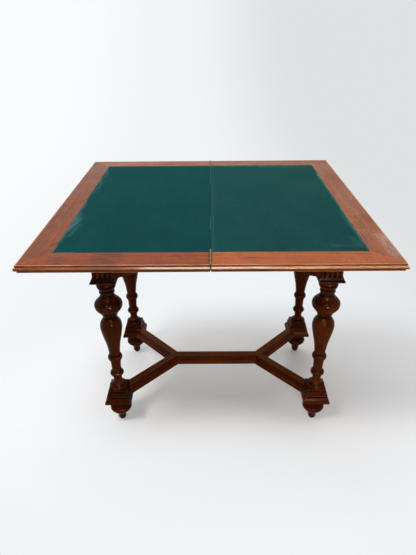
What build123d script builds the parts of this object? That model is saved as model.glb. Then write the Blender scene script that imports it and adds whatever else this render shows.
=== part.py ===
from build123d import *
import os

# Main sizes of the table, in millimetres. The origin is on the floor, under the centre of the open top.
TABLE_HEIGHT = 750.0
LEAF_WIDTH = 470.0
LEAF_DEPTH = 924.0
LEAF_THICKNESS = 20.0
LEG_SPACING_X = 678.0
LEG_SPACING_Y = 390.0
BASE_OFFSET_X = 19.0

# Running and fitting gaps.
OVERRUN = 5.0
JOINT_GAP = 0.6
SWIVEL_GAP = 0.3
FIT_GAP = 0.1
RUNNING_GAP = 0.06

# Leaf: a core board, three mitred borders and a sheet of baize laid in flush.
END_BORDER_WIDTH = 73.0
SIDE_BORDER_WIDTH = 72.0
BAIZE_THICKNESS = 1.2
BAIZE_GAP = 0.3
JOINT_BEVEL = 2.5

# Moulded edge of the borders: arris, short fillet, quirk, full bead and a tucked-in underside.
ARRIS_RADIUS = 1.2
ARRIS_INSET = 4.0
FILLET_DROP = 2.6
QUIRK_DEPTH = 1.6
QUIRK_HEIGHT = 1.4
BEAD_RADIUS = 5.0
UNDER_STEP = 1.4
UNDER_TUCK = 0.8

# Card table hinges: two plates and a pin, with the barrel at the playing surface.
HINGE_LENGTH = 78.0
HINGE_INSET = 7.0
HINGE_AXIS_RISE = 0.4
HINGE_PLATE_THICKNESS = 1.5
HINGE_PLATE_DROP = 15.0
HINGE_SCREW_DROP = 9.0
BARREL_RADIUS = 2.6
BARREL_CLEARANCE = 0.3
HINGE_PIN_RADIUS = 1.3
KNUCKLE_COUNT = 5
KNUCKLE_GAP = 0.2
HINGE_SCREW_SPACING = 22.0
HINGE_SCREW_COUNT = 3

# Countersunk wood screws.
SCREW_HEAD_RADIUS = 3.4
SCREW_SHANK_RADIUS = 1.7
SCREW_SLOT_WIDTH = 0.9
SCREW_SLOT_DEPTH = 0.8
HINGE_SCREW_LENGTH = 20.0
PIVOT_SCREW_LENGTH = 13.0

# Pivot of the swivelling top, its bearer in the frame and the stop under the fixed leaf.
PIVOT_PLATE_RADIUS = 42.0
PIVOT_PLATE_THICKNESS = 3.0
PIVOT_SCREW_CIRCLE = 30.0
PIVOT_SCREW_COUNT = 4
STUD_RADIUS = 6.0
STUD_TAIL = 4.0
WASHER_RADIUS = 15.0
WASHER_THICKNESS = 2.0
NUT_RADIUS = 11.0
NUT_THICKNESS = 10.0
BEARER_WIDTH = 60.0
BEARER_THICKNESS = 22.0
BEARER_HOUSING = 8.0
STOP_DEPTH = 18.0
STOP_LENGTH = 34.0
STOP_REACH = 138.0

# Capital: fluted square block with a flared abacus under it.
CAPITAL_HEIGHT = 159.5
CAPITAL_HALF_WIDTH = 31.0
ABACUS_HALF_WIDTH = 39.3
ABACUS_FILLET = 4.0
ABACUS_FLARE = 21.0
ABACUS_HOLLOW = 1.5
FLUTE_COUNT = 4
FLUTE_SPACING = 15.0
FLUTE_RADIUS = 4.4
FLUTE_DEPTH = 3.2
FLUTE_RISE = 16.0

# Plinth: moulded square block at the bottom of each leg.
PLINTH_HEIGHT = 52.0
PLINTH_HALF_WIDTH = 44.0

# Foot: turned bun with a small toe.
FOOT_HEIGHT = 98.0
FOOT_RADIUS = 37.0

# Turned shaft and the round tenons at its ends and on the foot.
SHAFT_RADIUS = 43.8
TENON_RADIUS = 12.0
TENON_LENGTH = 22.0
INCISION_RADIUS = 1.3

# Frame rails with bracketed lower edges, tenoned into the capitals.
RAIL_THICKNESS = 22.0
RAIL_SETBACK = 5.0
RAIL_DEPTH = 118.0
BRACKET_LENGTH = 89.0
BRACKET_DROP = 37.0
RAIL_TENON_THICKNESS = 10.0
RAIL_TENON_LENGTH = 20.0
RAIL_TENON_HEIGHT = 75.0
RAIL_TENON_SHOULDER = 15.0

# Double-Y stretcher: a centre rail and four arms of one moulded section, with dowelled joints.
STRETCHER_NODE_SPACING = 310.0
STRETCHER_HEIGHT = 36.0
STRETCHER_HALF_WIDTH = 20.0
STRETCHER_TOP_ROUND = 1.0
DOWEL_RADIUS = 5.0
DOWEL_LENGTH = 56.0
DOWEL_REACH = 22.0

# Outlines as shares of the sizes that they follow, chosen by hand.
# Shaft: each point is a share of the shaft's length from its bottom, and of its radius.
BALL_UPPER_SHARES = ((0.8671, 0.475), (0.847, 0.60), (0.8249, 0.795), (0.8017, 0.965), (0.7826, 1.0))
BALL_LOWER_SHARES = ((0.7826, 1.0), (0.7545, 0.93), (0.7283, 0.74), (0.7072, 0.61), (0.6871, 0.50))
INCISION_SHARES = (0.34, 0.54, 0.73)
VASE_SHARES = ((0.671, 0.49), (0.6519, 0.61), (0.6307, 0.735), (0.6096, 0.787), (0.5905, 0.804))
TAPER_SHARES = (
    (0.5905, 0.804), (0.5472, 0.755), (0.5, 0.667), (0.4527, 0.564), (0.4044, 0.479), (0.3571, 0.427),
    (0.3254, 0.405),
)
BELL_SHARES = ((0.0762, 0.32), (0.0619, 0.333), (0.0473, 0.40), (0.0355, 0.502), (0.026, 0.605))
NECK_TOP_SHARES = ((1.0, 0.595), (0.9899, 0.58), (0.9758, 0.59), (0.9738, 0.615))
UPPER_TORUS_SHARES = ((0.9717, 0.628), (0.9446, 0.675), (0.923, 0.59))
TORUS_COVE_SHARES = ((0.9204, 0.56), (0.9074, 0.535))
LOWER_TORUS_SHARES = ((0.9043, 0.54), (0.8948, 0.556), (0.8822, 0.505))
BALL_NECK_SHARES = ((0.8782, 0.46), (0.8712, 0.45))
GROOVE_SHARES = ((0.6805, 0.48), (0.6735, 0.48))
UPPER_RING_FILLET_SHARES = ((0.3244, 0.437), (0.3179, 0.437))
UPPER_RING_SHARES = ((0.3165, 0.461), (0.2939, 0.543), (0.2713, 0.447))
UPPER_RING_TAIL_SHARES = ((0.2701, 0.42), (0.2615, 0.411), (0.2525, 0.397), (0.2354, 0.377))
COLUMN_SHARES = ((0.2354, 0.377), (0.1785, 0.358))
LOWER_RING_FILLET_SHARES = ((0.171, 0.366), (0.165, 0.40), (0.1582, 0.402))
LOWER_RING_SHARES = ((0.1559, 0.425), (0.1368, 0.518), (0.1178, 0.411))
LOWER_RING_TAIL_SHARES = ((0.1167, 0.388), (0.1117, 0.388), (0.1036, 0.349), (0.0952, 0.325), (0.0762, 0.32))
BASE_TORUS_SHARES = ((0.025, 0.628), (0.0135, 0.674), (0.0, 0.635))

# Foot: shares of its height from the floor, and of its radius.
TOE_SHARES = ((0.0, 0.22), (0.02, 0.26), (0.061, 0.32), (0.102, 0.362), (0.143, 0.378), (0.18, 0.38))
BUN_SHARES = (
    (0.18, 0.38), (0.245, 0.425), (0.32, 0.51), (0.388, 0.64), (0.45, 0.80), (0.52, 0.945), (0.59, 1.0),
    (0.64, 0.965), (0.67, 0.88),
)
FOOT_NECK_SHARES = ((0.68, 0.80), (0.74, 0.80), (0.76, 0.70), (1.0, 0.76))

# Plinth: shares of its height from the bottom, and of its half width.
PLINTH_BAND_SHARES = ((0.0, 1.0), (0.15, 1.0))
PLINTH_OGEE_SHARES = ((0.15, 0.985), (0.25, 0.955), (0.36, 0.875), (0.45, 0.825))
PLINTH_TOP_SHARES = (
    (0.45, 0.785), (0.53, 0.785), (0.53, 0.825), (0.62, 0.825), (0.62, 0.765), (0.86, 0.725), (0.86, 0.67),
    (0.93, 0.67), (0.93, 0.70), (1.0, 0.69),
)

# Stretcher section: shares of its half width and of its height.
STRETCHER_SIDE_SHARES = ((1.0, 0.0), (1.0, 0.17))
STRETCHER_OGEE_SHARES = ((0.97, 0.20), (0.90, 0.32), (0.79, 0.46))
STRETCHER_TOP_SHARES = ((0.79, 0.52), (0.735, 0.52), (0.735, 0.63), (0.665, 0.66), (0.665, 0.73), (0.63, 0.75))

# Bracket under each rail end: shares of its length from the capital, and of its drop from the tip upwards.
BRACKET_SHARES = (
    (0.0, 0.0), (0.106, 0.197), (0.187, 0.314), (0.326, 0.386), (0.618, 0.535), (0.854, 0.90), (1.0, 1.0),
)

# Heights and places that follow from the sizes above.
UNDERSIDE = TABLE_HEIGHT - LEAF_THICKNESS
FRAME_TOP = UNDERSIDE - SWIVEL_GAP
CAPITAL_BOTTOM = FRAME_TOP - CAPITAL_HEIGHT
PLINTH_TOP = FOOT_HEIGHT + PLINTH_HEIGHT
SHAFT_LENGTH = CAPITAL_BOTTOM - PLINTH_TOP
HINGE_AXIS_Z = TABLE_HEIGHT + HINGE_AXIS_RISE
JOINT_FACE = JOINT_GAP / 2
RAIL_OUTER = CAPITAL_HALF_WIDTH - RAIL_SETBACK
RAIL_INNER = RAIL_OUTER - RAIL_THICKNESS
WELL_HALF_DEPTH = LEG_SPACING_Y / 2 + RAIL_INNER
PIVOT_OFFSET = (LEAF_WIDTH / 2 - BASE_OFFSET_X) / 2
PIVOT_X = BASE_OFFSET_X + PIVOT_OFFSET
PIVOT_Y = -PIVOT_OFFSET
FIXED = 1
FOLDING = -1
LEGS = {
    "front_left": (-1, -1),
    "front_right": (1, -1),
    "back_left": (-1, 1),
    "back_right": (1, 1),
}


def leg_place(signs):
    return BASE_OFFSET_X + signs[0] * LEG_SPACING_X / 2, signs[1] * LEG_SPACING_Y / 2


def save(part, name):
    part.label = name
    export_step(part, f"parts/{name}.step")


# Screws, used as pieces and as the holes that they fill.

def cut_or_add_screw(head, direction, length, mode):
    plane = Plane(origin=head, z_dir=direction)
    with BuildSketch(plane) as shank:
        Circle(SCREW_SHANK_RADIUS)
    extrude(shank.sketch, amount=length, mode=mode)
    with BuildSketch(plane) as rim:
        Circle(SCREW_HEAD_RADIUS)
    extrude(rim.sketch, amount=SCREW_HEAD_RADIUS - SCREW_SHANK_RADIUS, taper=45, mode=mode)


def screw_group(places, length, name):
    with BuildPart() as screws:
        for head, direction in places:
            cut_or_add_screw(head, direction, length, Mode.ADD)
        for head, direction in places:
            with BuildSketch(Plane(origin=head, z_dir=direction)):
                Rectangle(2 * (SCREW_HEAD_RADIUS + OVERRUN), SCREW_SLOT_WIDTH)
            extrude(amount=SCREW_SLOT_DEPTH, mode=Mode.SUBTRACT)
    save(screws.part, name)


# Hinges across the joint, at the front and at the back.

def hinge_middle(end):
    return end * (LEAF_DEPTH / 2 - HINGE_INSET - HINGE_LENGTH / 2)


def hinge_screw_places(leaf):
    row = [(i - (HINGE_SCREW_COUNT - 1) / 2) * HINGE_SCREW_SPACING for i in range(HINGE_SCREW_COUNT)]
    return [
        ((leaf * JOINT_FACE, hinge_middle(end) + step, TABLE_HEIGHT - HINGE_SCREW_DROP), (leaf, 0, 0))
        for end in (-1, 1)
        for step in row
    ]


def round_bar(x, z, y_low, y_high, radius, mode):
    with BuildSketch(Plane(origin=(x, y_low, z), x_dir=(1, 0, 0), z_dir=(0, 1, 0))) as end_face:
        Circle(radius)
    extrude(end_face.sketch, amount=y_high - y_low, mode=mode)


def cut_hinge_seats(leaf):
    for end in (-1, 1):
        middle = hinge_middle(end)
        half = HINGE_LENGTH / 2 + BARREL_CLEARANCE
        round_bar(0, HINGE_AXIS_Z, middle - half, middle + half, BARREL_RADIUS + BARREL_CLEARANCE, Mode.SUBTRACT)
        seat_x = leaf * (JOINT_FACE + HINGE_PLATE_THICKNESS / 2)
        with BuildSketch(Plane.XY.offset(TABLE_HEIGHT - HINGE_PLATE_DROP)) as seat:
            with Locations((seat_x, middle)):
                Rectangle(HINGE_PLATE_THICKNESS, HINGE_LENGTH + 2 * FIT_GAP)
        extrude(seat.sketch, amount=HINGE_PLATE_DROP + OVERRUN, mode=Mode.SUBTRACT)
    for head, direction in hinge_screw_places(leaf):
        cut_or_add_screw(head, direction, HINGE_SCREW_LENGTH, Mode.SUBTRACT)


def knuckle_spans(end, first):
    step = HINGE_LENGTH / KNUCKLE_COUNT
    start = hinge_middle(end) - HINGE_LENGTH / 2
    return [(start + i * step, start + (i + 1) * step) for i in range(first, KNUCKLE_COUNT, 2)]


def hinge_plate(leaf, end, name):
    own, other = (0, 1) if leaf == FIXED else (1, 0)
    middle = hinge_middle(end)
    with BuildPart() as plate:
        with BuildSketch(Plane.XY.offset(TABLE_HEIGHT - HINGE_PLATE_DROP)):
            with Locations((leaf * (JOINT_FACE + HINGE_PLATE_THICKNESS / 2), middle)):
                Rectangle(HINGE_PLATE_THICKNESS, HINGE_LENGTH)
        extrude(amount=HINGE_PLATE_DROP + HINGE_AXIS_RISE)
        for low, high in knuckle_spans(end, own):
            round_bar(0, HINGE_AXIS_Z, low, high, BARREL_RADIUS, Mode.ADD)
        for low, high in knuckle_spans(end, other):
            reach = BARREL_RADIUS + KNUCKLE_GAP
            round_bar(0, HINGE_AXIS_Z, low - KNUCKLE_GAP, high + KNUCKLE_GAP, reach, Mode.SUBTRACT)
        half = HINGE_LENGTH / 2 + OVERRUN
        bore = HINGE_PIN_RADIUS + RUNNING_GAP
        round_bar(0, HINGE_AXIS_Z, middle - half, middle + half, bore, Mode.SUBTRACT)
        for head, direction in hinge_screw_places(leaf):
            cut_or_add_screw(head, direction, HINGE_SCREW_LENGTH, Mode.SUBTRACT)
    save(plate.part, name)


def hinge_pin(end, name):
    middle = hinge_middle(end)
    with BuildPart() as pin:
        low = middle - HINGE_LENGTH / 2
        round_bar(0, HINGE_AXIS_Z, low, low + HINGE_LENGTH, HINGE_PIN_RADIUS, Mode.ADD)
        chamfer(pin.edges().filter_by(GeomType.CIRCLE), length=HINGE_PIN_RADIUS / 4)
    save(pin.part, name)


def make_hinges():
    for place, end in (("front", -1), ("back", 1)):
        hinge_plate(FIXED, end, f"{place}_hinge_fixed_plate")
        hinge_plate(FOLDING, end, f"{place}_hinge_folding_plate")
        hinge_pin(end, f"{place}_hinge_pin")
    screw_group(hinge_screw_places(FIXED), HINGE_SCREW_LENGTH, "fixed_leaf_hinge_screws")
    screw_group(hinge_screw_places(FOLDING), HINGE_SCREW_LENGTH, "folding_leaf_hinge_screws")


# Leaves of the top.

def border_section(plane, width):
    """Section of a border: x is outwards from the leaf's outermost line, y is up from its underside."""
    thickness = LEAF_THICKNESS
    bead_top = thickness - ARRIS_RADIUS - FILLET_DROP - QUIRK_HEIGHT
    bead_bottom = bead_top - 2 * BEAD_RADIUS
    with BuildSketch(plane) as section:
        with BuildLine():
            inner = Polyline((-BEAD_RADIUS - UNDER_TUCK, 0), (-width, 0), (-width, thickness),
                             (-ARRIS_INSET - ARRIS_RADIUS, thickness))
            arris = RadiusArc(inner @ 1, (-ARRIS_INSET, thickness - ARRIS_RADIUS), ARRIS_RADIUS)
            quirk = Polyline(arris @ 1, (-ARRIS_INSET, bead_top + QUIRK_HEIGHT),
                             (-ARRIS_INSET - QUIRK_DEPTH, bead_top + QUIRK_HEIGHT),
                             (-ARRIS_INSET - QUIRK_DEPTH, bead_top), (-BEAD_RADIUS, bead_top))
            bead = ThreePointArc(quirk @ 1, (0, bead_top - BEAD_RADIUS), (-BEAD_RADIUS, bead_bottom))
            Polyline(bead @ 1, (-BEAD_RADIUS - UNDER_STEP, bead_bottom), inner @ 0)
        make_face()
    return section.sketch


def mitre(leaf, end, kept):
    """Cuts from the leaf's outer corner to the cloth's corner and keeps the end's (1) or side's (-1) share."""
    corner = (leaf * LEAF_WIDTH, end * LEAF_DEPTH / 2, 0)
    direction = (kept * leaf * SIDE_BORDER_WIDTH, -kept * end * END_BORDER_WIDTH, 0)
    split(bisect_by=Plane(origin=corner, z_dir=direction), keep=Keep.TOP)


def bevel_joint(leaf):
    origin = (leaf * (JOINT_FACE + JOINT_BEVEL), 0, UNDERSIDE)
    split(bisect_by=Plane(origin=origin, z_dir=(leaf, 0, 1)), keep=Keep.TOP)


def end_border(leaf, name):
    plane = Plane(origin=(leaf * LEAF_WIDTH, 0, UNDERSIDE), x_dir=(leaf, 0, 0), z_dir=(0, -leaf, 0))
    with BuildPart() as border:
        extrude(border_section(plane, END_BORDER_WIDTH), amount=LEAF_DEPTH / 2, both=True)
        for end in (-1, 1):
            mitre(leaf, end, 1)
    save(border.part, name)


def side_border(leaf, end, name):
    middle = leaf * (LEAF_WIDTH + JOINT_FACE) / 2
    plane = Plane(origin=(middle, end * LEAF_DEPTH / 2, UNDERSIDE), x_dir=(0, end, 0), z_dir=(end, 0, 0))
    with BuildPart() as border:
        extrude(border_section(plane, SIDE_BORDER_WIDTH), amount=(LEAF_WIDTH - JOINT_FACE) / 2, both=True)
        mitre(leaf, end, -1)
        bevel_joint(leaf)
        cut_hinge_seats(leaf)
    save(border.part, name)


def field_slab(leaf, low, height, gap):
    """Rectangle inside the three borders, from the joint face, as a slab between two heights."""
    width = LEAF_WIDTH - END_BORDER_WIDTH - gap - JOINT_FACE
    depth = LEAF_DEPTH - 2 * (SIDE_BORDER_WIDTH + gap)
    with BuildSketch(Plane.XY.offset(low)) as field:
        with Locations((leaf * (JOINT_FACE + width / 2), 0)):
            Rectangle(width, depth)
    extrude(field.sketch, amount=height)


def pivot_screw_places():
    return [
        ((PIVOT_X + place.X, PIVOT_Y + place.Y, UNDERSIDE), (0, 0, 1))
        for place in (
            Vector(PIVOT_SCREW_CIRCLE, 0, 0).rotate(Axis.Z, 45 + turn * 360 / PIVOT_SCREW_COUNT)
            for turn in range(PIVOT_SCREW_COUNT)
        )
    ]


def core_board(leaf, name):
    with BuildPart() as board:
        field_slab(leaf, UNDERSIDE, LEAF_THICKNESS - BAIZE_THICKNESS, 0)
        bevel_joint(leaf)
        cut_hinge_seats(leaf)
        if leaf == FIXED:
            with BuildSketch(Plane(origin=(PIVOT_X, PIVOT_Y, UNDERSIDE))):
                Circle(PIVOT_PLATE_RADIUS + FIT_GAP)
            extrude(amount=PIVOT_PLATE_THICKNESS, mode=Mode.SUBTRACT)
            for head, direction in pivot_screw_places():
                cut_or_add_screw(head, direction, PIVOT_SCREW_LENGTH, Mode.SUBTRACT)
    save(board.part, name)


def baize(leaf, name):
    with BuildPart() as cloth:
        field_slab(leaf, TABLE_HEIGHT - BAIZE_THICKNESS, BAIZE_THICKNESS, BAIZE_GAP)
        cut_hinge_seats(leaf)
    save(cloth.part, name)


def make_leaf(leaf, name):
    core_board(leaf, f"{name}_board")
    baize(leaf, f"{name}_baize")
    side_border(leaf, -1, f"{name}_front_border")
    side_border(leaf, 1, f"{name}_back_border")
    end_border(leaf, f"{name}_end_border")


# Pivot under the fixed leaf.

def make_pivot():
    with BuildPart() as plate:
        with BuildSketch(Plane(origin=(PIVOT_X, PIVOT_Y, UNDERSIDE))):
            Circle(PIVOT_PLATE_RADIUS)
            Circle(STUD_RADIUS, mode=Mode.SUBTRACT)
        extrude(amount=PIVOT_PLATE_THICKNESS)
        for head, direction in pivot_screw_places():
            cut_or_add_screw(head, direction, PIVOT_SCREW_LENGTH, Mode.SUBTRACT)
    save(plate.part, "pivot_plate")
    screw_group(pivot_screw_places(), PIVOT_SCREW_LENGTH, "pivot_plate_screws")

    washer_top = FRAME_TOP - BEARER_THICKNESS - SWIVEL_GAP
    nut_top = washer_top - WASHER_THICKNESS
    stud_bottom = nut_top - NUT_THICKNESS - STUD_TAIL
    with BuildPart() as stud:
        with BuildSketch(Plane(origin=(PIVOT_X, PIVOT_Y, stud_bottom))):
            Circle(STUD_RADIUS)
        extrude(amount=UNDERSIDE + PIVOT_PLATE_THICKNESS - stud_bottom)
        chamfer(stud.edges().group_by(Axis.Z)[0], length=STUD_RADIUS / 4)
    save(stud.part, "pivot_stud")

    with BuildPart() as washer:
        with BuildSketch(Plane(origin=(PIVOT_X, PIVOT_Y, nut_top))):
            Circle(WASHER_RADIUS)
            Circle(STUD_RADIUS, mode=Mode.SUBTRACT)
        extrude(amount=WASHER_THICKNESS)
    save(washer.part, "pivot_washer")

    with BuildPart() as nut:
        with BuildSketch(Plane(origin=(PIVOT_X, PIVOT_Y, nut_top - NUT_THICKNESS))):
            RegularPolygon(NUT_RADIUS, 6)
            Circle(STUD_RADIUS, mode=Mode.SUBTRACT)
        extrude(amount=NUT_THICKNESS)
    save(nut.part, "pivot_nut")

    stop_width = WELL_HALF_DEPTH + PIVOT_Y - BEARER_WIDTH / 2 - 2 * SWIVEL_GAP
    stop_x = PIVOT_X - BEARER_WIDTH / 2 - SWIVEL_GAP - stop_width / 2
    with BuildPart() as stop:
        with BuildSketch(Plane.XY.offset(UNDERSIDE - STOP_DEPTH)):
            with Locations((stop_x, PIVOT_Y + STOP_REACH + STOP_LENGTH / 2)):
                Rectangle(stop_width, STOP_LENGTH)
        extrude(amount=STOP_DEPTH)
        chamfer(stop.faces().sort_by(Axis.Z)[0].edges(), length=STOP_DEPTH / 9)
    save(stop.part, "swivel_stop_block")


def make_bearer():
    length = 2 * (WELL_HALF_DEPTH + BEARER_HOUSING)
    with BuildPart() as bearer:
        with BuildSketch(Plane.XY.offset(FRAME_TOP - BEARER_THICKNESS)):
            with Locations((PIVOT_X, 0)):
                Rectangle(BEARER_WIDTH, length)
            with Locations((PIVOT_X, PIVOT_Y)):
                Circle(STUD_RADIUS + RUNNING_GAP, mode=Mode.SUBTRACT)
        extrude(amount=BEARER_THICKNESS)
    save(bearer.part, "pivot_bearer")


# Square moulded blocks: one outline carried along X and along Y, and what both hold is the block.

def square_moulding(place, bottom, outline, reach):
    x, y = place
    front = Plane(origin=(x, y, bottom), x_dir=(1, 0, 0), z_dir=(0, -1, 0))
    side = Plane(origin=(x, y, bottom), x_dir=(0, 1, 0), z_dir=(1, 0, 0))
    with BuildPart() as block:
        extrude(outline(front), amount=reach, both=True)
        extrude(outline(side), amount=reach, both=True, mode=Mode.INTERSECT)
    return block.part


def capital_outline(plane):
    flare_top = ABACUS_FILLET + ABACUS_FLARE
    hollow_x = (CAPITAL_HALF_WIDTH + ABACUS_HALF_WIDTH) / 2 - ABACUS_HOLLOW
    hollow_z = ABACUS_FILLET + ABACUS_FLARE / 2
    with BuildSketch(plane) as outline:
        with BuildLine():
            sides = []
            for side in (1, -1):
                lower = Line((side * ABACUS_HALF_WIDTH, 0), (side * ABACUS_HALF_WIDTH, ABACUS_FILLET))
                top = (side * CAPITAL_HALF_WIDTH, flare_top)
                flare = ThreePointArc(lower @ 1, (side * hollow_x, hollow_z), top)
                upper = Line(flare @ 1, (side * CAPITAL_HALF_WIDTH, CAPITAL_HEIGHT))
                sides.append((lower @ 0, upper @ 1))
            Line(sides[0][0], sides[1][0])
            Line(sides[0][1], sides[1][1])
        make_face()
    return outline.sketch


def capital_blank(place):
    return square_moulding(place, CAPITAL_BOTTOM, capital_outline, ABACUS_HALF_WIDTH + OVERRUN)


def rail_tenon_boxes(signs, clearance):
    """Plan centre and plan size of the two rail tenons that enter one capital."""
    x, y = leg_place(signs)
    middle = (RAIL_OUTER + RAIL_INNER) / 2
    reach = RAIL_TENON_LENGTH + clearance
    inner = CAPITAL_HALF_WIDTH - reach / 2
    thickness = RAIL_TENON_THICKNESS + 2 * clearance
    long_rail = ((x - signs[0] * inner, y + signs[1] * middle), (reach, thickness))
    short_rail = ((x + signs[0] * middle, y - signs[1] * inner), (thickness, reach))
    return long_rail, short_rail


def make_capital(signs, name):
    x, y = leg_place(signs)
    flute_line = CAPITAL_HALF_WIDTH + FLUTE_RADIUS - FLUTE_DEPTH
    steps = [(i - (FLUTE_COUNT - 1) / 2) * FLUTE_SPACING for i in range(FLUTE_COUNT)]
    tenon_top = FRAME_TOP - RAIL_TENON_SHOULDER
    with BuildPart() as capital:
        add(capital_blank((x, y)))
        with BuildSketch(Plane(origin=(x, y, CAPITAL_BOTTOM + FLUTE_RISE))):
            with Locations(*[(step, signs[1] * flute_line) for step in steps]):
                Circle(FLUTE_RADIUS)
            with Locations(*[(signs[0] * flute_line, step) for step in steps]):
                Circle(FLUTE_RADIUS)
        extrude(amount=CAPITAL_HEIGHT, mode=Mode.SUBTRACT)
        for centre, size in rail_tenon_boxes(signs, FIT_GAP):
            with BuildSketch(Plane.XY.offset(tenon_top + FIT_GAP)):
                with Locations(centre):
                    Rectangle(*size)
            extrude(amount=-RAIL_TENON_HEIGHT - 2 * FIT_GAP, mode=Mode.SUBTRACT)
        with BuildSketch(Plane(origin=(x, y, CAPITAL_BOTTOM))):
            Circle(TENON_RADIUS + FIT_GAP)
        extrude(amount=TENON_LENGTH + FIT_GAP, mode=Mode.SUBTRACT)
    save(capital.part, f"{name}_capital")


# Turned pieces, as half outlines spun about the leg's axis.

def shaft_points(shares):
    return [(share[1] * SHAFT_RADIUS, share[0] * SHAFT_LENGTH) for share in shares]


def chain(*pieces):
    """Joins outline pieces end to end with straight lines where they don't meet."""
    for before, after in zip(pieces, pieces[1:]):
        if (before @ 1 - after @ 0).length > 0:
            Line(before @ 1, after @ 0)


def shaft_outline(plane):
    with BuildSketch(plane) as outline:
        with BuildLine():
            members = [
                Polyline((0, SHAFT_LENGTH + TENON_LENGTH), (TENON_RADIUS, SHAFT_LENGTH + TENON_LENGTH),
                         (TENON_RADIUS, SHAFT_LENGTH)),
                Polyline(*shaft_points(NECK_TOP_SHARES)),
                ThreePointArc(*shaft_points(UPPER_TORUS_SHARES)),
                Polyline(*shaft_points(TORUS_COVE_SHARES)),
                ThreePointArc(*shaft_points(LOWER_TORUS_SHARES)),
                Polyline(*shaft_points(BALL_NECK_SHARES)),
                Spline(*shaft_points(BALL_UPPER_SHARES), tangents=[(1, -1), (0, -1)]),
                Spline(*shaft_points(BALL_LOWER_SHARES), tangents=[(0, -1), (-1, -1)]),
                Polyline(*shaft_points(GROOVE_SHARES)),
                Spline(*shaft_points(VASE_SHARES), tangents=[(1, -1), (0, -1)]),
                Spline(*shaft_points(TAPER_SHARES), tangents=[(0, -1), (0, -1)]),
                Polyline(*shaft_points(UPPER_RING_FILLET_SHARES)),
                ThreePointArc(*shaft_points(UPPER_RING_SHARES)),
                Polyline(*shaft_points(UPPER_RING_TAIL_SHARES)),
                Polyline(*shaft_points(COLUMN_SHARES)),
                Polyline(*shaft_points(LOWER_RING_FILLET_SHARES)),
                ThreePointArc(*shaft_points(LOWER_RING_SHARES)),
                Polyline(*shaft_points(LOWER_RING_TAIL_SHARES)),
                Spline(*shaft_points(BELL_SHARES), tangents=[(0, -1), (1, -2)]),
                ThreePointArc(*shaft_points(BASE_TORUS_SHARES)),
                Polyline((TENON_RADIUS, 0), (TENON_RADIUS, -TENON_LENGTH), (0, -TENON_LENGTH)),
            ]
            chain(*members)
            Line(members[-1] @ 1, members[0] @ 0)
        make_face()
    return outline.sketch


def turned_plane(place, bottom):
    return Plane(origin=(place[0], place[1], bottom), x_dir=(1, 0, 0), z_dir=(0, -1, 0))


def make_shaft(signs, name):
    place = leg_place(signs)
    plane = turned_plane(place, PLINTH_TOP)
    axis = Axis((place[0], place[1], 0), (0, 0, 1))
    shoulder = Edge.make_spline(
        [Vector(*point) for point in shaft_points(BALL_UPPER_SHARES)],
        tangents=[Vector(1, -1), Vector(0, -1)],
    )
    with BuildPart() as shaft:
        revolve(shaft_outline(plane), axis=axis)
        with BuildSketch(plane):
            with Locations(*[shoulder @ share for share in INCISION_SHARES]):
                Circle(INCISION_RADIUS)
        revolve(axis=axis, mode=Mode.SUBTRACT)
    save(shaft.part, f"{name}_leg_shaft")


def foot_outline(plane):
    def points(shares):
        return [(share[1] * FOOT_RADIUS, share[0] * FOOT_HEIGHT) for share in shares]

    with BuildSketch(plane) as outline:
        with BuildLine():
            members = [
                Line((0, 0), points(TOE_SHARES)[0]),
                Spline(*points(TOE_SHARES)),
                Spline(*points(BUN_SHARES)),
                Polyline(*points(FOOT_NECK_SHARES)),
                Polyline((TENON_RADIUS, FOOT_HEIGHT), (TENON_RADIUS, FOOT_HEIGHT + TENON_LENGTH),
                         (0, FOOT_HEIGHT + TENON_LENGTH)),
            ]
            chain(*members)
            Line(members[-1] @ 1, members[0] @ 0)
        make_face()
    return outline.sketch


def make_foot(signs, name):
    place = leg_place(signs)
    with BuildPart() as foot:
        revolve(foot_outline(turned_plane(place, 0)), axis=Axis((place[0], place[1], 0), (0, 0, 1)))
    save(foot.part, f"{name}_foot")


# Plinths.

def plinth_outline(plane):
    def points(shares, side):
        return [(side * share[1] * PLINTH_HALF_WIDTH, share[0] * PLINTH_HEIGHT) for share in shares]

    with BuildSketch(plane) as outline:
        with BuildLine():
            ends = []
            for side in (1, -1):
                members = [
                    Polyline(*points(PLINTH_BAND_SHARES, side)),
                    Spline(*points(PLINTH_OGEE_SHARES, side)),
                    Polyline(*points(PLINTH_TOP_SHARES, side)),
                ]
                chain(*members)
                ends.append((members[0] @ 0, members[-1] @ 1))
            Line(ends[0][0], ends[1][0])
            Line(ends[0][1], ends[1][1])
        make_face()
    return outline.sketch


def plinth_blank(place):
    return square_moulding(place, FOOT_HEIGHT, plinth_outline, PLINTH_HALF_WIDTH + OVERRUN)


def make_plinth(signs, name):
    x, y = leg_place(signs)
    with BuildPart() as plinth:
        add(plinth_blank((x, y)))
        for level, way in ((FOOT_HEIGHT, 1), (PLINTH_TOP, -1)):
            with BuildSketch(Plane(origin=(x, y, level))):
                Circle(TENON_RADIUS + FIT_GAP)
            extrude(amount=way * (TENON_LENGTH + FIT_GAP), mode=Mode.SUBTRACT)
        cut_or_add_dowel(signs, Mode.SUBTRACT)
    save(plinth.part, f"{name}_plinth")


# Frame rails.

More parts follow.
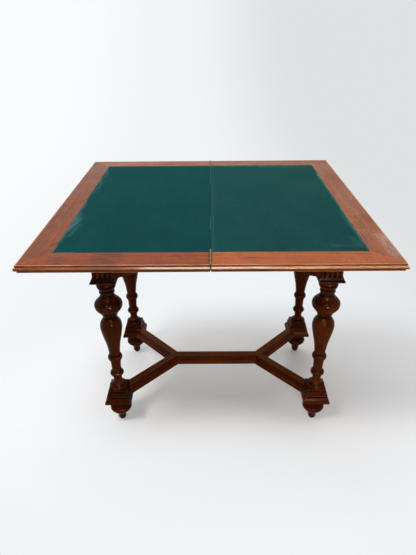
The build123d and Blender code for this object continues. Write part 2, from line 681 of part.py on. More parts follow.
def rail_outline(plane, span):
    """Front view of a rail: x along it from its middle, y up. Its lower edge drops to a bracket at each end."""
    bottom = FRAME_TOP - RAIL_DEPTH
    with BuildSketch(plane) as outline:
        with BuildLine():
            tips = []
            for side in (1, -1):
                curve = [
                    (side * (span / 2 - along * BRACKET_LENGTH), bottom - (1 - up) * BRACKET_DROP)
                    for along, up in BRACKET_SHARES
                ]
                bracket = Spline(*curve, tangents=[(-side, 1), (-side, 0)])
                Line(bracket @ 0, (side * span / 2, FRAME_TOP))
                tips.append(bracket @ 1)
            Line(tips[0], tips[1])
            Line((span / 2, FRAME_TOP), (-span / 2, FRAME_TOP))
        make_face()
    return outline.sketch


def make_rail(name, along, side):
    """Rail on one side of the frame: along is X for the long rails and Y for the short ones."""
    long_rail = along == "x"
    span = (LEG_SPACING_X if long_rail else LEG_SPACING_Y) - 2 * CAPITAL_HALF_WIDTH
    outer = side * ((LEG_SPACING_Y if long_rail else LEG_SPACING_X) / 2 + RAIL_OUTER)
    if long_rail:
        plane = Plane(origin=(BASE_OFFSET_X, outer, 0), x_dir=(-side, 0, 0), z_dir=(0, side, 0))
    else:
        plane = Plane(origin=(BASE_OFFSET_X + outer, 0, 0), x_dir=(0, side, 0), z_dir=(side, 0, 0))
    tenon_top = FRAME_TOP - RAIL_TENON_SHOULDER
    corners = [signs for signs in LEGS.values() if signs[1 if long_rail else 0] == side]
    with BuildPart() as rail:
        extrude(rail_outline(plane, span), amount=-RAIL_THICKNESS)
        for signs in corners:
            add(capital_blank(leg_place(signs)), mode=Mode.SUBTRACT)
        for signs in corners:
            centre, size = rail_tenon_boxes(signs, 0)[0 if long_rail else 1]
            with BuildSketch(Plane.XY.offset(tenon_top)):
                with Locations(centre):
                    Rectangle(*size)
            extrude(amount=-RAIL_TENON_HEIGHT)
        if long_rail:
            with BuildSketch(Plane.XY.offset(FRAME_TOP - BEARER_THICKNESS)):
                with Locations((PIVOT_X, side * WELL_HALF_DEPTH)):
                    Rectangle(BEARER_WIDTH, 2 * BEARER_HOUSING)
            extrude(amount=BEARER_THICKNESS + OVERRUN, mode=Mode.SUBTRACT)
    save(rail.part, name)


# Stretcher between the plinths.

def node_place(side):
    return BASE_OFFSET_X + side * STRETCHER_NODE_SPACING / 2, 0


def arm_direction(signs):
    x, y = leg_place(signs)
    node = node_place(signs[0])
    return Vector(x - node[0], y - node[1], 0).normalized()


def node_members(side):
    """Directions of the three members that meet at one node: the centre rail and the two arms."""
    return [Vector(-side, 0, 0), arm_direction((side, -1)), arm_direction((side, 1))]


def stretcher_section(plane):
    def points(shares, side):
        return [(side * share[0] * STRETCHER_HALF_WIDTH, share[1] * STRETCHER_HEIGHT) for share in shares]

    top_half_width = STRETCHER_TOP_SHARES[-1][0] * STRETCHER_HALF_WIDTH
    with BuildSketch(plane) as section:
        with BuildLine():
            ends = []
            for side in (1, -1):
                members = [
                    Polyline(*points(STRETCHER_SIDE_SHARES, side)),
                    Spline(*points(STRETCHER_OGEE_SHARES, side)),
                    Polyline(*points(STRETCHER_TOP_SHARES, side),
                             (side * top_half_width, STRETCHER_HEIGHT - STRETCHER_TOP_ROUND),
                             (side * (top_half_width - STRETCHER_TOP_ROUND), STRETCHER_HEIGHT)),
                ]
                chain(*members)
                ends.append((members[0] @ 0, members[-1] @ 1))
            Line(ends[0][0], ends[1][0])
            Line(ends[0][1], ends[1][1])
        make_face()
    return section.sketch


def mitre_at_node(side, direction):
    x, y = node_place(side)
    others = sorted(node_members(side), key=lambda member: (member - direction).length)[1:]
    for other in others:
        split(bisect_by=Plane(origin=(x, y, 0), z_dir=direction - other), keep=Keep.TOP)


def dowel_plane(signs):
    x, y = leg_place(signs)
    inward = arm_direction(signs) * -1
    start = Vector(x, y, FOOT_HEIGHT + STRETCHER_HEIGHT / 2) + inward * DOWEL_REACH
    return Plane(origin=start, z_dir=inward)


def cut_or_add_dowel(signs, mode):
    with BuildSketch(dowel_plane(signs)) as dowel_end:
        Circle(DOWEL_RADIUS)
    extrude(dowel_end.sketch, amount=DOWEL_LENGTH, mode=mode)


def make_arm(signs, name):
    node = node_place(signs[0])
    direction = arm_direction(signs)
    x, y = leg_place(signs)
    length = (Vector(x, y, 0) - Vector(node[0], node[1], 0)).length
    across = (-direction.Y, direction.X, 0)
    plane = Plane(origin=(node[0], node[1], FOOT_HEIGHT), x_dir=across, z_dir=direction)
    if plane.y_dir.Z < 0:
        plane = Plane(origin=plane.origin, x_dir=plane.x_dir * -1, z_dir=direction)
    with BuildPart() as arm:
        extrude(stretcher_section(plane), amount=length)
        extrude(stretcher_section(plane), amount=-STRETCHER_HALF_WIDTH)
        mitre_at_node(signs[0], direction)
        add(plinth_blank((x, y)), mode=Mode.SUBTRACT)
        cut_or_add_dowel(signs, Mode.SUBTRACT)
    save(arm.part, name)


def make_centre_rail():
    plane = Plane(origin=(BASE_OFFSET_X, 0, FOOT_HEIGHT), x_dir=(0, 1, 0), z_dir=(1, 0, 0))
    with BuildPart() as rail:
        extrude(stretcher_section(plane), amount=STRETCHER_NODE_SPACING / 2 + STRETCHER_HALF_WIDTH, both=True)
        for side in (-1, 1):
            mitre_at_node(side, Vector(-side, 0, 0))
    save(rail.part, "stretcher_centre_rail")


def make_dowels():
    with BuildPart() as dowels:
        for signs in LEGS.values():
            cut_or_add_dowel(signs, Mode.ADD)
    save(dowels.part, "stretcher_dowels")


os.makedirs("parts", exist_ok=True)
make_leaf(FIXED, "fixed_leaf")
make_leaf(FOLDING, "folding_leaf")
make_hinges()
make_pivot()
make_bearer()
for leg_name, leg_signs in LEGS.items():
    make_capital(leg_signs, leg_name)
    make_shaft(leg_signs, leg_name)
    make_plinth(leg_signs, leg_name)
    make_foot(leg_signs, leg_name)
    make_arm(leg_signs, f"stretcher_arm_{leg_name}")
make_rail("front_rail", "x", -1)
make_rail("back_rail", "x", 1)
make_rail("left_rail", "y", -1)
make_rail("right_rail", "y", 1)
make_centre_rail()
make_dowels()
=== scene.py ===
"""Folding card table, open for play: cloths, finishes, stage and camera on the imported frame."""

import math

import bpy
import numpy as np
from bpy.props import FloatProperty, FloatVectorProperty, PointerProperty
from mathutils import Matrix, Vector


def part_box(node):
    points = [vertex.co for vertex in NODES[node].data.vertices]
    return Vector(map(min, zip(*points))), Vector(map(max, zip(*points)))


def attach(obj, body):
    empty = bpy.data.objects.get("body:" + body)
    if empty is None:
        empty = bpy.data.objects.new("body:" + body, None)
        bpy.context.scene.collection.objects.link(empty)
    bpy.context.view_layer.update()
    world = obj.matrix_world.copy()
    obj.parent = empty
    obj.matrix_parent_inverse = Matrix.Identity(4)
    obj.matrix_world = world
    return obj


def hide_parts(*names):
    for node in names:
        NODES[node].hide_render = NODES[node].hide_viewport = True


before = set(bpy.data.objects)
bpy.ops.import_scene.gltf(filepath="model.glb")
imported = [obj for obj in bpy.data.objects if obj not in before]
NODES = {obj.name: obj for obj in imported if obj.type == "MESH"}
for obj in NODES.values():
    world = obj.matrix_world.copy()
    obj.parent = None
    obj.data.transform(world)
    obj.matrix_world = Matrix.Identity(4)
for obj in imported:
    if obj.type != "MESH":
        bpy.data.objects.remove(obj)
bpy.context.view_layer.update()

bl_info = {
    "name": "Folding Card Table",
    "version": (1, 0, 0),
    "blender": (4, 5, 0),
    "location": "3D View > Sidebar > Card Table",
    "description": "Dresses a folding card table: baize, polished borders, dark frame, hinges and stage",
    "category": "Object",
}

CORNERS = ("front_left", "front_right", "back_left", "back_right")

# Places on the part, in metres.
TOP_HALF_X, TOP_HALF_Y = 0.47, 0.462
BEAD_CREST = (0.74, 0.744)
BEAD_FRONT = (-0.457, -0.452)
UNDERSIDE_STEP = (0.7305, 0.7318)
QUIRK_TOP = (0.7482, 0.7487)
HINGE_SPAN = (0.392, 0.455)
FRAME_CENTRE_X = 0.019
LEG_OFF_X, LEG_OFF_Y = 0.339, 0.195
FLUTED_FACE = (0.0276, 0.0302)
RAIL_TENON = 0.02
BRACKET_REACH = 0.092
BRACKET_TOP = 0.662
CLOTH_REACH = 0.3937
CLOTH_PULL = 0.0016
CLOTH_TOP_GAP, CLOTH_FOOT_GAP = 0.00006, 0.00001
NOTCH_STEP = 0.0006
FLOOR_SPOKES = 96

# Grain directions, as turns of a pattern whose grain runs along x.
ALONG_X = (0, 0, 0)
ALONG_Y = (0, 0, math.pi / 2)
UPRIGHT = (0, -math.pi / 2, 0)


def length(name, default, description):
    """A size in metres."""
    return FloatProperty(name=name, description=description, default=default, unit="LENGTH", precision=5)


def colour(name, default, description):
    """A linear colour."""
    more = {"subtype": "COLOR", "size": 3, "min": 0, "max": 1}
    return FloatVectorProperty(name=name, description=description, default=default, **more)


def amount(name, default, description):
    """A plain share or strength."""
    return FloatProperty(name=name, description=description, default=default, min=0, subtype="FACTOR")


def watts(name, default, description):
    """The power of a lamp."""
    return FloatProperty(name=name, description=description, default=default, min=0, unit="POWER")


def angle(name, degrees, description):
    """An angle of the camera."""
    return FloatProperty(name=name, description=description, default=math.radians(degrees), subtype="ANGLE")


# ---- sizes and colours


class ClothSettings(bpy.types.PropertyGroup):
    """Sizes and colours of the two sheets of baize."""

    pitch: length("Grid pitch", 0.004, "Spacing of the cloth's mesh points")
    round_over: length("Edge round", 0.0007, "How far the cut edge of the cloth rounds over")
    heave: length("Unevenness", 0.00012, "Height of slow waves where the glue let go")
    notch_length: length("Hinge notch length", 0.0133, "How far the cloth is cut back beside each barrel")
    notch_width: length("Hinge notch width", 0.0028, "Width of the cut beside each hinge barrel")
    meeting: length("Meeting at the joint", 0.00024, "How far each cloth reaches past its board")
    folding_colour: colour("Folding leaf cloth", (0.0048, 0.0505, 0.0525), "Cloth on the folding leaf")
    fixed_colour: colour("Fixed leaf cloth", (0.0076, 0.0565, 0.055), "Cloth on the fixed leaf")
    rubbed_colour: colour("Rubbed cloth", (0.105, 0.245, 0.215), "Colour where the nap is rubbed off")


class TimberSettings(bpy.types.PropertyGroup):
    """Colours of the three timbers."""

    border_dark: colour("Border, dark figure", (0.105, 0.021, 0.006), "Dark lines in the border wood")
    border_mid: colour("Border, ground", (0.275, 0.062, 0.0165), "Ground of the border wood")
    border_pale: colour("Border, pale figure", (0.42, 0.12, 0.034), "Pale streaks in the border wood")
    # Painted highlights: the bead's crest and the top arris take these colours, the whiter one in the middle
    # of the front.
    border_bead: colour("Border, bead", (0.56, 0.245, 0.115), "Painted highlights on the bead and arris")
    border_bead_highlight: colour("Border, bead highlight", (0.8, 0.59, 0.45), "Painted highlight on the bead's crest")
    frame_dark: colour("Frame, dark figure", (0.015, 0.0034, 0.001), "Dark lines in the frame wood")
    frame_mid: colour("Frame, ground", (0.116, 0.0185, 0.001), "Ground of the frame wood")
    # Laid on worn edges, and also as painted highlight bands on the plinths.
    frame_pale: colour("Frame, worn", (0.18, 0.052, 0.011), "Frame wood where hands and polish wore it")
    plain_dark: colour("Plain wood, late rings", (0.2, 0.105, 0.045), "Late growth of the plain wood")
    plain_pale: colour("Plain wood, early rings", (0.39, 0.25, 0.13), "Early growth of the plain wood")


class MetalSettings(bpy.types.PropertyGroup):
    """Colours of the metals."""

    brass_bright: colour("Brass, rubbed", (0.36, 0.25, 0.12), "Brass where it is rubbed bright")
    brass_dull: colour("Brass, tarnished", (0.17, 0.115, 0.05), "Brass where it is tarnished")
    steel_bright: colour("Steel, bare", (0.34, 0.32, 0.3), "Bare wrought steel")
    steel_dull: colour("Steel, rusty", (0.12, 0.075, 0.05), "Steel under old rust")


class StageSettings(bpy.types.PropertyGroup):
    """Floor, lamps and camera."""

    floor_radius: length("Floor radius", 3.4, "Radius of the flat floor")
    sweep_radius: length("Sweep radius", 2.6, "Radius of the curve from the floor to the wall")
    floor_colour: colour("Floor", (0.945, 0.955, 0.97), "Floor as the camera sees it near the table")
    # A warm tint painted into the table's shadow on the floor.
    shadow_tint_colour: colour("Floor under the table", (0.985, 0.955, 0.935), "Floor seen under the table")
    bounce_colour: colour("Floor bounce", (0.5, 0.49, 0.48), "Floor as it lights the table from below")
    far_colour: colour("Backdrop", (0.868, 0.905, 0.93), "Backdrop away from the table")
    # Painted shade: floor and backdrop go over to this colour towards the right.
    shaded_side_colour: colour("Backdrop, dim side", (0.735, 0.755, 0.765), "Backdrop on its darker side")
    dome_strength: amount("Dome", 0.8, "Strength of the even light all round")
    key_power: watts("Key lamp", 56, "Soft lamp high on the left")
    back_power: watts("Back lamp", 29, "Large soft lamp above and behind")
    strip_power: watts("Front sheet", 85, "Tall sheet above the camera, seen only as a gleam")
    front_power: watts("Front box", 13.5, "Small soft box low in front")
    gleam_power: watts("Front gleam", 62, "Small card over the front box, seen only as a gleam")
    # Painted light: the floor near the table glows with this share of the backdrop, lifting its shadow.
    shadow_lift: amount("Floor lift", 0.075, "Share of the even backdrop in the floor near the table")
    camera_x: length("Camera x", 0.00206, "Camera's place across")
    camera_y: length("Camera y", -1.46028, "Camera's place in front of the table")
    camera_z: length("Camera z", 1.26692, "Camera's height")
    pitch: angle("Pitch", 28.803, "How far the camera looks down")
    yaw: angle("Yaw", -0.475, "How far the camera turns right")
    roll: angle("Roll", -0.55, "How far the camera tips over")
    lens: FloatProperty(name="Lens", description="Focal length", default=30.981, min=1, unit="CAMERA")


class CardTableSettings(bpy.types.PropertyGroup):
    """All of the card table's sizes and colours."""

    cloth: PointerProperty(type=ClothSettings, name="Cloth", description="The two sheets of baize")
    timber: PointerProperty(type=TimberSettings, name="Timber", description="The three timbers")
    metal: PointerProperty(type=MetalSettings, name="Metal", description="Brass and steel")
    stage: PointerProperty(type=StageSettings, name="Stage", description="Floor, lamps and camera")


# ---- finishes


class Nodes:
    """Adds nodes to a tree."""

    def __init__(self, tree):
        self.tree, self.count = tree, 0

    def node(self, kind, inputs=None, **settings):
        """Adds a node; inputs are numbers, colours or other nodes' sockets."""
        made = self.tree.nodes.new(kind)
        made.location = (-220 * (self.count % 12), -260 * (self.count // 12))
        self.count += 1
        for key, value in settings.items():
            setattr(made, key, value)
        for key, value in (inputs or {}).items():
            self.feed(made.inputs[key], value)
        return made

    def feed(self, socket, value):
        """Links a socket, or sets its own value."""
        if isinstance(value, bpy.types.NodeSocket):
            self.tree.links.new(value, socket)
        elif hasattr(value, "__len__") and len(value) == 3 and socket.type == "RGBA":
            socket.default_value = (*value, 1)
        else:
            socket.default_value = value


class Finish(Nodes):
    """One material, written node by node. Every pattern starts from Object coordinates, in metres.

    turn and start are the grain's direction and place, tone is the colour laid on so far."""

    def __init__(self, name, turn=(0, 0, 0), start=(0, 0, 0)):
        self.turn, self.start, self.tone = turn, start, None
        self.material = bpy.data.materials.new(name)
        self.material.use_nodes = True
        super().__init__(self.material.node_tree)
        self.tree.nodes.clear()
        self.output = self.tree.nodes.new("ShaderNodeOutputMaterial")

    def point(self):
        """Object coordinates."""
        return self.node("ShaderNodeTexCoord").outputs["Object"]

    def place(self, size, turn=None, start=None, vector=None):
        """Coordinates from start, turned with the grain and counted in features of the given size."""
        turn, start = self.turn if turn is None else turn, self.start if start is None else start
        mapped = {"Vector": vector or self.point(), "Location": start, "Rotation": turn, "Scale": size}
        return self.node("ShaderNodeMapping", mapped, vector_type="TEXTURE").outputs[0]

    def noise(self, vector, detail=2, roughness=0.5, distortion=0, colour=False):
        """Noise over coordinates, as a height from 0 to 1 or as a colour."""
        values = {"Vector": vector, "Scale": 1, "Detail": detail, "Roughness": roughness}
        made = self.node("ShaderNodeTexNoise", {**values, "Distortion": distortion})
        return made.outputs[1 if colour else 0]

    def cloud(self, size, turn=None, vector=None, **noise):
        """Noise with features of the given size."""
        return self.noise(self.place(size, turn, vector=vector), **noise)

    def cells(self, vector, random=1):
        """Distance to the nearest of many scattered points."""
        values = {"Vector": vector, "Scale": 1, "Randomness": random}
        return self.node("ShaderNodeTexVoronoi", values, feature="F1").outputs["Distance"]

    def maths(self, operation, a, b=0, c=None, clamp=False):
        """One step of arithmetic."""
        values = {0: a, 1: b} if c is None else {0: a, 1: b, 2: c}
        return self.node("ShaderNodeMath", values, operation=operation, use_clamp=clamp).outputs[0]

    def times(self, first, *others, clamp=False):
        """A product."""
        for other in others:
            first = self.maths("MULTIPLY", first, other, clamp=clamp)
        return first

    def largest(self, first, *others):
        """The largest of some values."""
        for other in others:
            first = self.maths("MAXIMUM", first, other)
        return first

    def plus(self, base, value, by):
        """A base plus a value times a number."""
        return self.maths("MULTIPLY_ADD", value, by, base)

    def less(self, a, b):
        """A difference."""
        return self.maths("SUBTRACT", a, b)

    def unsigned(self, value):
        """A value without its sign."""
        return self.maths("ABSOLUTE", value)

    def between(self, value, low, high, start=0, end=1):
        """Smooth step: start below low, end above high."""
        values = {"Value": value, "From Min": low, "From Max": high, "To Min": start, "To Max": end}
        return self.node("ShaderNodeMapRange", values, interpolation_type="SMOOTHSTEP").outputs[0]

    def window(self, value, low, high, soft):
        """One between low and high, falling to nothing within soft outside them."""
        rise = self.between(value, low - soft, low)
        fall = self.between(value, high, high + soft, 1, 0)
        return self.times(rise, fall)

    def axes(self, vector=None):
        """The three coordinates apart."""
        return self.node("ShaderNodeSeparateXYZ", {0: vector or self.point()}).outputs

    def tones(self, value, stops):
        """A ramp through (place, colour) stops."""
        made = self.node("ShaderNodeValToRGB", {"Fac": value})
        ramp = made.color_ramp
        ramp.interpolation = "EASE"
        while len(ramp.elements) < len(stops):
            ramp.elements.new(0.5)
        for element, (at, tone) in zip(ramp.elements, stops):
            element.position = at
            element.color = (*tone, 1)
        return made.outputs[0]

    def mix(self, factor, a, b, blend="MIX"):
        """Colour a, going over to b as the factor grows."""
        values = {0: factor, 6: a, 7: b}
        return self.node("ShaderNodeMix", values, data_type="RGBA", blend_type=blend).outputs[2]

    def lay(self, mask, colour):
        """Lays a colour over the tone where the mask says."""
        self.tone = self.mix(mask, self.tone, colour)

    def stain(self, mask, by):
        """Multiplies the tone by a colour where the mask says."""
        self.lay(mask, self.mix(1, self.tone, by, "MULTIPLY"))

    def sway(self, vector, by, reach):
        """Coordinates pushed about by a noise colour, to bend the figure."""
        values = {0: by, 1: (reach,) * 3, 2: vector}
        return self.node("ShaderNodeVectorMath", values, operation="MULTIPLY_ADD").outputs[0]

    def bump(self, height, distance, strength=1, under=None):
        """A normal from a height, over another normal."""
        values = {"Height": height, "Distance": distance, "Strength": strength}
        if under is not None:
            values["Normal"] = under
        return self.node("ShaderNodeBump", values).outputs[0]

    def recess(self, distance, inside=False, samples=6):
        """How open the surface is: low in grooves, or with inside low at sharp edges."""
        settings = {"samples": samples, "inside": inside, "only_local": True}
        return self.node("ShaderNodeAmbientOcclusion", {"Distance": distance}, **settings).outputs["AO"]

    def surface(self, **inputs):
        """The closing shader, over the tone. Names are its sockets, with underscores for spaces."""
        values = {"Base Color": self.tone, **{key.replace("_", " "): value for key, value in inputs.items()}}
        shader = self.node("ShaderNodeBsdfPrincipled", values)
        self.tree.links.new(shader.outputs[0], self.output.inputs[0])
        return self.material


# Bands of heights, as (low, high, strength): rings of painted shade in grooves and hollows, and paler bands.
SHAFT_SHADES = (
    (0.5475, 0.554, 0.93), (0.5305, 0.5378, 0.95), (0.5192, 0.5208, 0.9), (0.5134, 0.515, 0.9),
    (0.509, 0.52, 0.45), (0.4958, 0.4972, 0.7), (0.454, 0.4572, 0.8), (0.43, 0.444, 0.62),
    (0.4325, 0.4378, 0.92), (0.2857, 0.2871, 0.92), (0.2826, 0.2838, 0.92), (0.2628, 0.2644, 0.92),
    (0.2214, 0.2232, 0.92), (0.2152, 0.217, 0.92), (0.1984, 0.2002, 0.92), (0.1632, 0.166, 0.75),
    (0.16, 0.1614, 0.92),
)
STRETCHER_SHADES = ((0.1293, 0.1322, 0.55), (0.1228, 0.125, 0.8), (0.114, 0.1167, 0.6), (0.098, 0.102, 0.65))
STRETCHER_ARRIS = (0.1334, 0.136)
PLINTH_SHADES = ((0.1205, 0.124, 0.8), (0.1372, 0.1395, 0.6))
# The plinths' paler bands are painted highlights.
PLINTH_HIGHLIGHTS = ((0.1262, 0.1285, 0.5), (0.103, 0.1058, 0.3))
# Painted shade in the concave flare under the capitals' flutes.
CAPITAL_SHADES = ((0.5745, 0.5865, 0.95),)


def scaled(tone, by):
    """A colour times a number, or times another colour, kept within 0 to 1."""
    by = (by,) * 3 if isinstance(by, (int, float)) else by
    return tuple(min(1, a * b) for a, b in zip(tone, by))


def grain(f, bend=0.5):
    """Wood figure as four heights from 0 to 1: streak (growth lines), figure (slow change), fibre and pore.

    Streak is a noise stretched along the grain and pushed sideways by a slower noise. Pore is a fine
    stretched noise kept only at its peaks."""
    slow = f.cloud((0.34, 0.075, 0.075), colour=True)
    line = f.sway(f.place((0.42, 0.0085, 0.016)), slow, bend * 9)
    streak = f.noise(line, detail=4, roughness=0.58, distortion=0.25)
    figure = f.cloud((0.11, 0.03, 0.03), detail=3, distortion=0.6)
    fibre = f.cloud((0.024, 0.0008, 0.001), roughness=0.6)
    ticks = f.cloud((0.0065, 0.00042, 0.00055), detail=1, roughness=0.4)
    pore = f.between(ticks, 0.6, 0.72)
    return streak, figure, fibre, pore


def moulded_edge(f, figure, dark, pale):
    """A border's moulding: painted shade in its grooves, quirk, under the bead and at the joint, and painted
    highlights on the bead, the sharp edges and the top arris.
    """
    timber = bpy.context.scene.card_table.timber
    # Painted shade in the grooves, and a painted highlight on the sharp edges where the figure is pale.
    groove = f.between(f.recess(0.006), 0.35, 0.8, 0.85, 0)
    f.lay(groove, scaled(dark, 0.35))
    edge = f.between(f.recess(0.0025, inside=True), 0.55, 0.92, 0.7, 0)
    f.lay(f.times(edge, f.between(figure, 0.3, 0.6)), scaled(pale, 1.15))

    # The bead's crest, up to a quirk that sits higher on the right leaf, takes a painted highlight:
    # patchy along its length, and strongest on the front, whitish in the middle and orange on the right.
    x, y, z = f.axes()
    low, high = BEAD_CREST
    quirk_line = f.between(x, -0.05, 0.12, high + 0.001, high + 0.0022)
    above = f.between(f.less(quirk_line, z), 0, 0.0006)
    crest = f.times(f.between(z, low + 0.0004, low + 0.0012), above)
    front = f.between(y, *BEAD_FRONT, 1, 0)
    middle = f.times(f.window(x, -0.14, 0.12, 0.07), front)
    right = f.window(x, 0.13, 0.46, 0.03)
    patchy = f.between(f.cloud((0.1, 0.1, 0.1), detail=3), 0.3, 0.6, 0.1, 0.4)
    # rubbed marks where the painted highlight lies on the crest, and bare is its colour.
    rubbed = f.largest(patchy, f.times(right, f.times(front, 0.9)), middle)
    bare = f.mix(right, timber.border_bead, scaled(timber.border_bead, 1.5))
    bare = f.mix(middle, bare, timber.border_bead_highlight)
    f.lay(f.times(crest, rubbed), bare)

    # The top arris, with a painted highlight where the figure is pale.
    from_joint, from_middle = f.unsigned(x), f.unsigned(y)
    from_end = f.less(TOP_HALF_X, from_joint)
    from_front = f.less(TOP_HALF_Y, from_middle)
    arris = f.window(f.maths("MINIMUM", from_end, from_front), 0.004, 0.0066, 0.0012)
    f.lay(f.times(arris, f.between(figure, 0.3, 0.5, 0.35, 0.85)), timber.border_bead)

    # Painted shade in the hollow under the bead, the quirk over it, and the joint with the hinges beside it.
    hollow = f.times(f.between(z, low - 0.0036, low - 0.0004, 0.9, 0.25), f.between(z, *UNDERSIDE_STEP))
    f.lay(hollow, scaled(dark, 0.3))
    quirk = f.between(f.less(z, quirk_line), 0, 0.0004)
    quirk = f.times(quirk, f.between(z, *QUIRK_TOP, 1, 0))
    f.lay(f.times(quirk, 0.95), scaled(dark, 0.3))
    hinges = f.times(f.window(from_joint, 0.0022, 0.004, 0.001), f.window(from_middle, *HINGE_SPAN, 0.002))
    joint = f.largest(f.between(from_joint, 0.0012, 0.0034, 0.88, 0), hinges)
    f.lay(joint, scaled(dark, 0.25))


def border_wood(name, turn, start, tint=1, ground=0, patches=(), moulded=True):
    """Polished reddish wood of the top: streaks, a mottle across the grain, dark pores and veins, and stains.

    ground shifts the figure towards pale. A patch is (low x, high x, low y, high y, soft x, soft y, strength,
    colour). Most patches are stains; a pale one is a painted reflection. A greyer tint is painted sheen."""
    timber = bpy.context.scene.card_table.timber
    f = Finish(name, turn, start)
    streak, figure, fibre, pore = grain(f)
    mottle = f.cloud((0.016, 0.055, 0.055), distortion=0.5)
    blend = f.plus(f.times(streak, 0.58), figure, 0.42)
    blend = f.maths("ADD", blend, ground)
    dark, mid, pale = (scaled(c, tint) for c in (timber.border_dark, timber.border_mid, timber.border_pale))
    f.tone = f.tones(blend, ((0.3, dark), (0.47, mid), (0.58, scaled(mid, 1.18)), (0.72, pale)))
    f.stain(f.between(mottle, 0.34, 0.66, 0, 0.3), (0.72, 0.62, 0.55))
    f.stain(f.between(fibre, 0.35, 0.65, 0, 0.22), (0.7, 0.58, 0.5))
    f.lay(f.times(pore, 0.55), scaled(dark, 0.45))
    slopes = f.cloud((0.105, 0.034, 0.034), roughness=0.45, distortion=1.1)
    veins = f.maths("FRACT", f.times(slopes, 7))
    vein = f.times(f.window(veins, 0.4, 0.5, 0.13), f.between(figure, 0.35, 0.62))
    f.lay(f.times(vein, 0.5), scaled(dark, 0.9))
    x, y, z = f.axes()
    for low_x, high_x, low_y, high_y, soft_x, soft_y, strength, shade in patches:
        spot = f.times(f.window(x, low_x, high_x, soft_x), f.window(y, low_y, high_y, soft_y))
        broken = f.cloud((0.03, 0.011, 0.02), detail=4, distortion=1.2)
        broken = f.between(broken, 0.34, 0.6, 0.25, 1)
        f.lay(f.times(spot, broken, strength), shade)
    if moulded:
        moulded_edge(f, figure, dark, pale)
    haze = f.cloud((0.14, 0.09, 0.09), (0, 0, 0.6), detail=3, roughness=0.6)
    gloss = f.between(haze, 0.3, 0.7, 0.28, 0.42)
    gloss = f.plus(gloss, pore, 0.15)
    height = f.plus(f.times(fibre, 0.35), pore, -1)
    normal = f.bump(height, 0.00012, 0.6)
    normal = f.bump(f.cloud((0.1, 0.035, 0.035), detail=1), 0.0015, 0.1, normal)
    gloss = f.times(gloss, f.between(z, BEAD_CREST[1] + 0.0012, BEAD_CREST[1] + 0.003, 0.45, 1))
    shine = {"Specular_IOR_Level": 0.12, "Specular_Tint": (1, 0.86, 0.74, 1)}
    return f.surface(Roughness=gloss, Normal=normal, **shine)


def frame_wood(name, turn, start, tint=1, punched=None, fluted=False, rings=(), worn=()):
    """Dark stained wood of the frame: quiet streaks, painted shade in grooves, wax, and edges rubbed paler.

    punched is (axis, ends): the rail's ground is matted with round dents near its ends. fluted paints shade
    into the hollows of a capital's flutes. rings are bands of painted shade; worn are paler bands, which on
    the plinths are painted highlights."""
    timber = bpy.context.scene.card_table.timber
    f = Finish(name, turn, start)
    streak, figure, fibre, pore = grain(f, 0.35)
    blend = f.plus(f.times(streak, 0.5), figure, 0.5)
    dark, mid, pale = (scaled(c, tint) for c in (timber.frame_dark, timber.frame_mid, timber.frame_pale))
    stops = ((0.3, 0.45), (0.46, 0.85), (0.56, 1.2), (0.74, 1.75))
    f.tone = f.tones(blend, [(at, scaled(mid, by)) for at, by in stops])
    f.stain(f.between(fibre, 0.35, 0.65, 0, 0.3), (0.62, 0.55, 0.5))
    f.lay(f.times(pore, 0.5), scaled(dark, 0.6))
    # Painted shade in the grooves, in the flute hollows of capitals and in bands at the given heights.
    groove = f.between(f.recess(0.018, samples=8), 0.42, 0.94, 1, 0)
    if fluted:
        groove = f.largest(groove, f.times(flute_hollows(f), 0.74))
    height_at = f.axes()[2]
    for low, high, strength in rings:
        groove = f.largest(groove, f.times(f.window(height_at, low, high, 0.0012), strength))
    f.lay(groove, scaled(dark, 0.4))
    edge = f.between(f.recess(0.0035, inside=True), 0.5, 0.92, 0.6, 0)
    f.lay(f.times(edge, f.between(figure, 0.3, 0.58)), pale)
    # Paler bands at the given heights; on the plinths they are painted highlights.
    for low, high, strength in worn:
        band = f.times(f.window(height_at, low, high, 0.0008), strength)
        f.lay(band, scaled(pale, (1.15, 1.35, 1.6)))
    haze = f.cloud((0.05, 0.05, 0.05), (0.3, 0.2, 0.6), detail=3, roughness=0.6)
    gloss = f.between(haze, 0.3, 0.7, 0.1, 0.16)
    gloss = f.plus(gloss, groove, 0.05)
    height = f.plus(f.times(fibre, 0.45), pore, -1)
    normal = f.bump(height, 0.00014, 0.7)
    if punched:
        dent = f.between(f.cells(f.place((0.0034,) * 3, ALONG_X), random=0.75), 0.12, 0.5)
        mask = punched_ground(f, *punched)
        f.lay(f.times(mask, f.between(dent, 0, 1, 0.75, 0.15)), scaled(dark, 0.5))
        normal = f.bump(f.times(mask, dent), 0.0009, 0.9, normal)
        gloss = f.plus(gloss, mask, 0.18)
    shine = {"Specular_IOR_Level": 0.045, "Specular_Tint": (1, 0.8, 0.62, 1)}
    return f.surface(Roughness=gloss, Normal=normal, **shine)


def flute_hollows(f):
    """One in the hollows of the flutes, where a capital's face lies nearer to its leg's axis."""
    x, y = f.axes()[:2]
    from_centre = f.unsigned(f.less(x, FRAME_CENTRE_X))
    off_x = f.unsigned(f.less(from_centre, LEG_OFF_X))
    off_y = f.unsigned(f.less(f.unsigned(y), LEG_OFF_Y))
    return f.between(f.largest(off_x, off_y), *FLUTED_FACE, 1, 0)


def punched_ground(f, axis, ends):
    """One over the matted ends of a rail's face: a band at each end, as long as the bracket."""
    run, z = f.axes()[axis], f.axes()[2]
    first, last, reach, top, bottom = ends
    left = f.between(run, first + reach * 0.82, first + reach, 1, 0)
    right = f.between(run, last - reach, last - reach * 0.82)
    band = f.window(z, bottom, top, 0.0025)
    return f.times(f.largest(left, right), band)


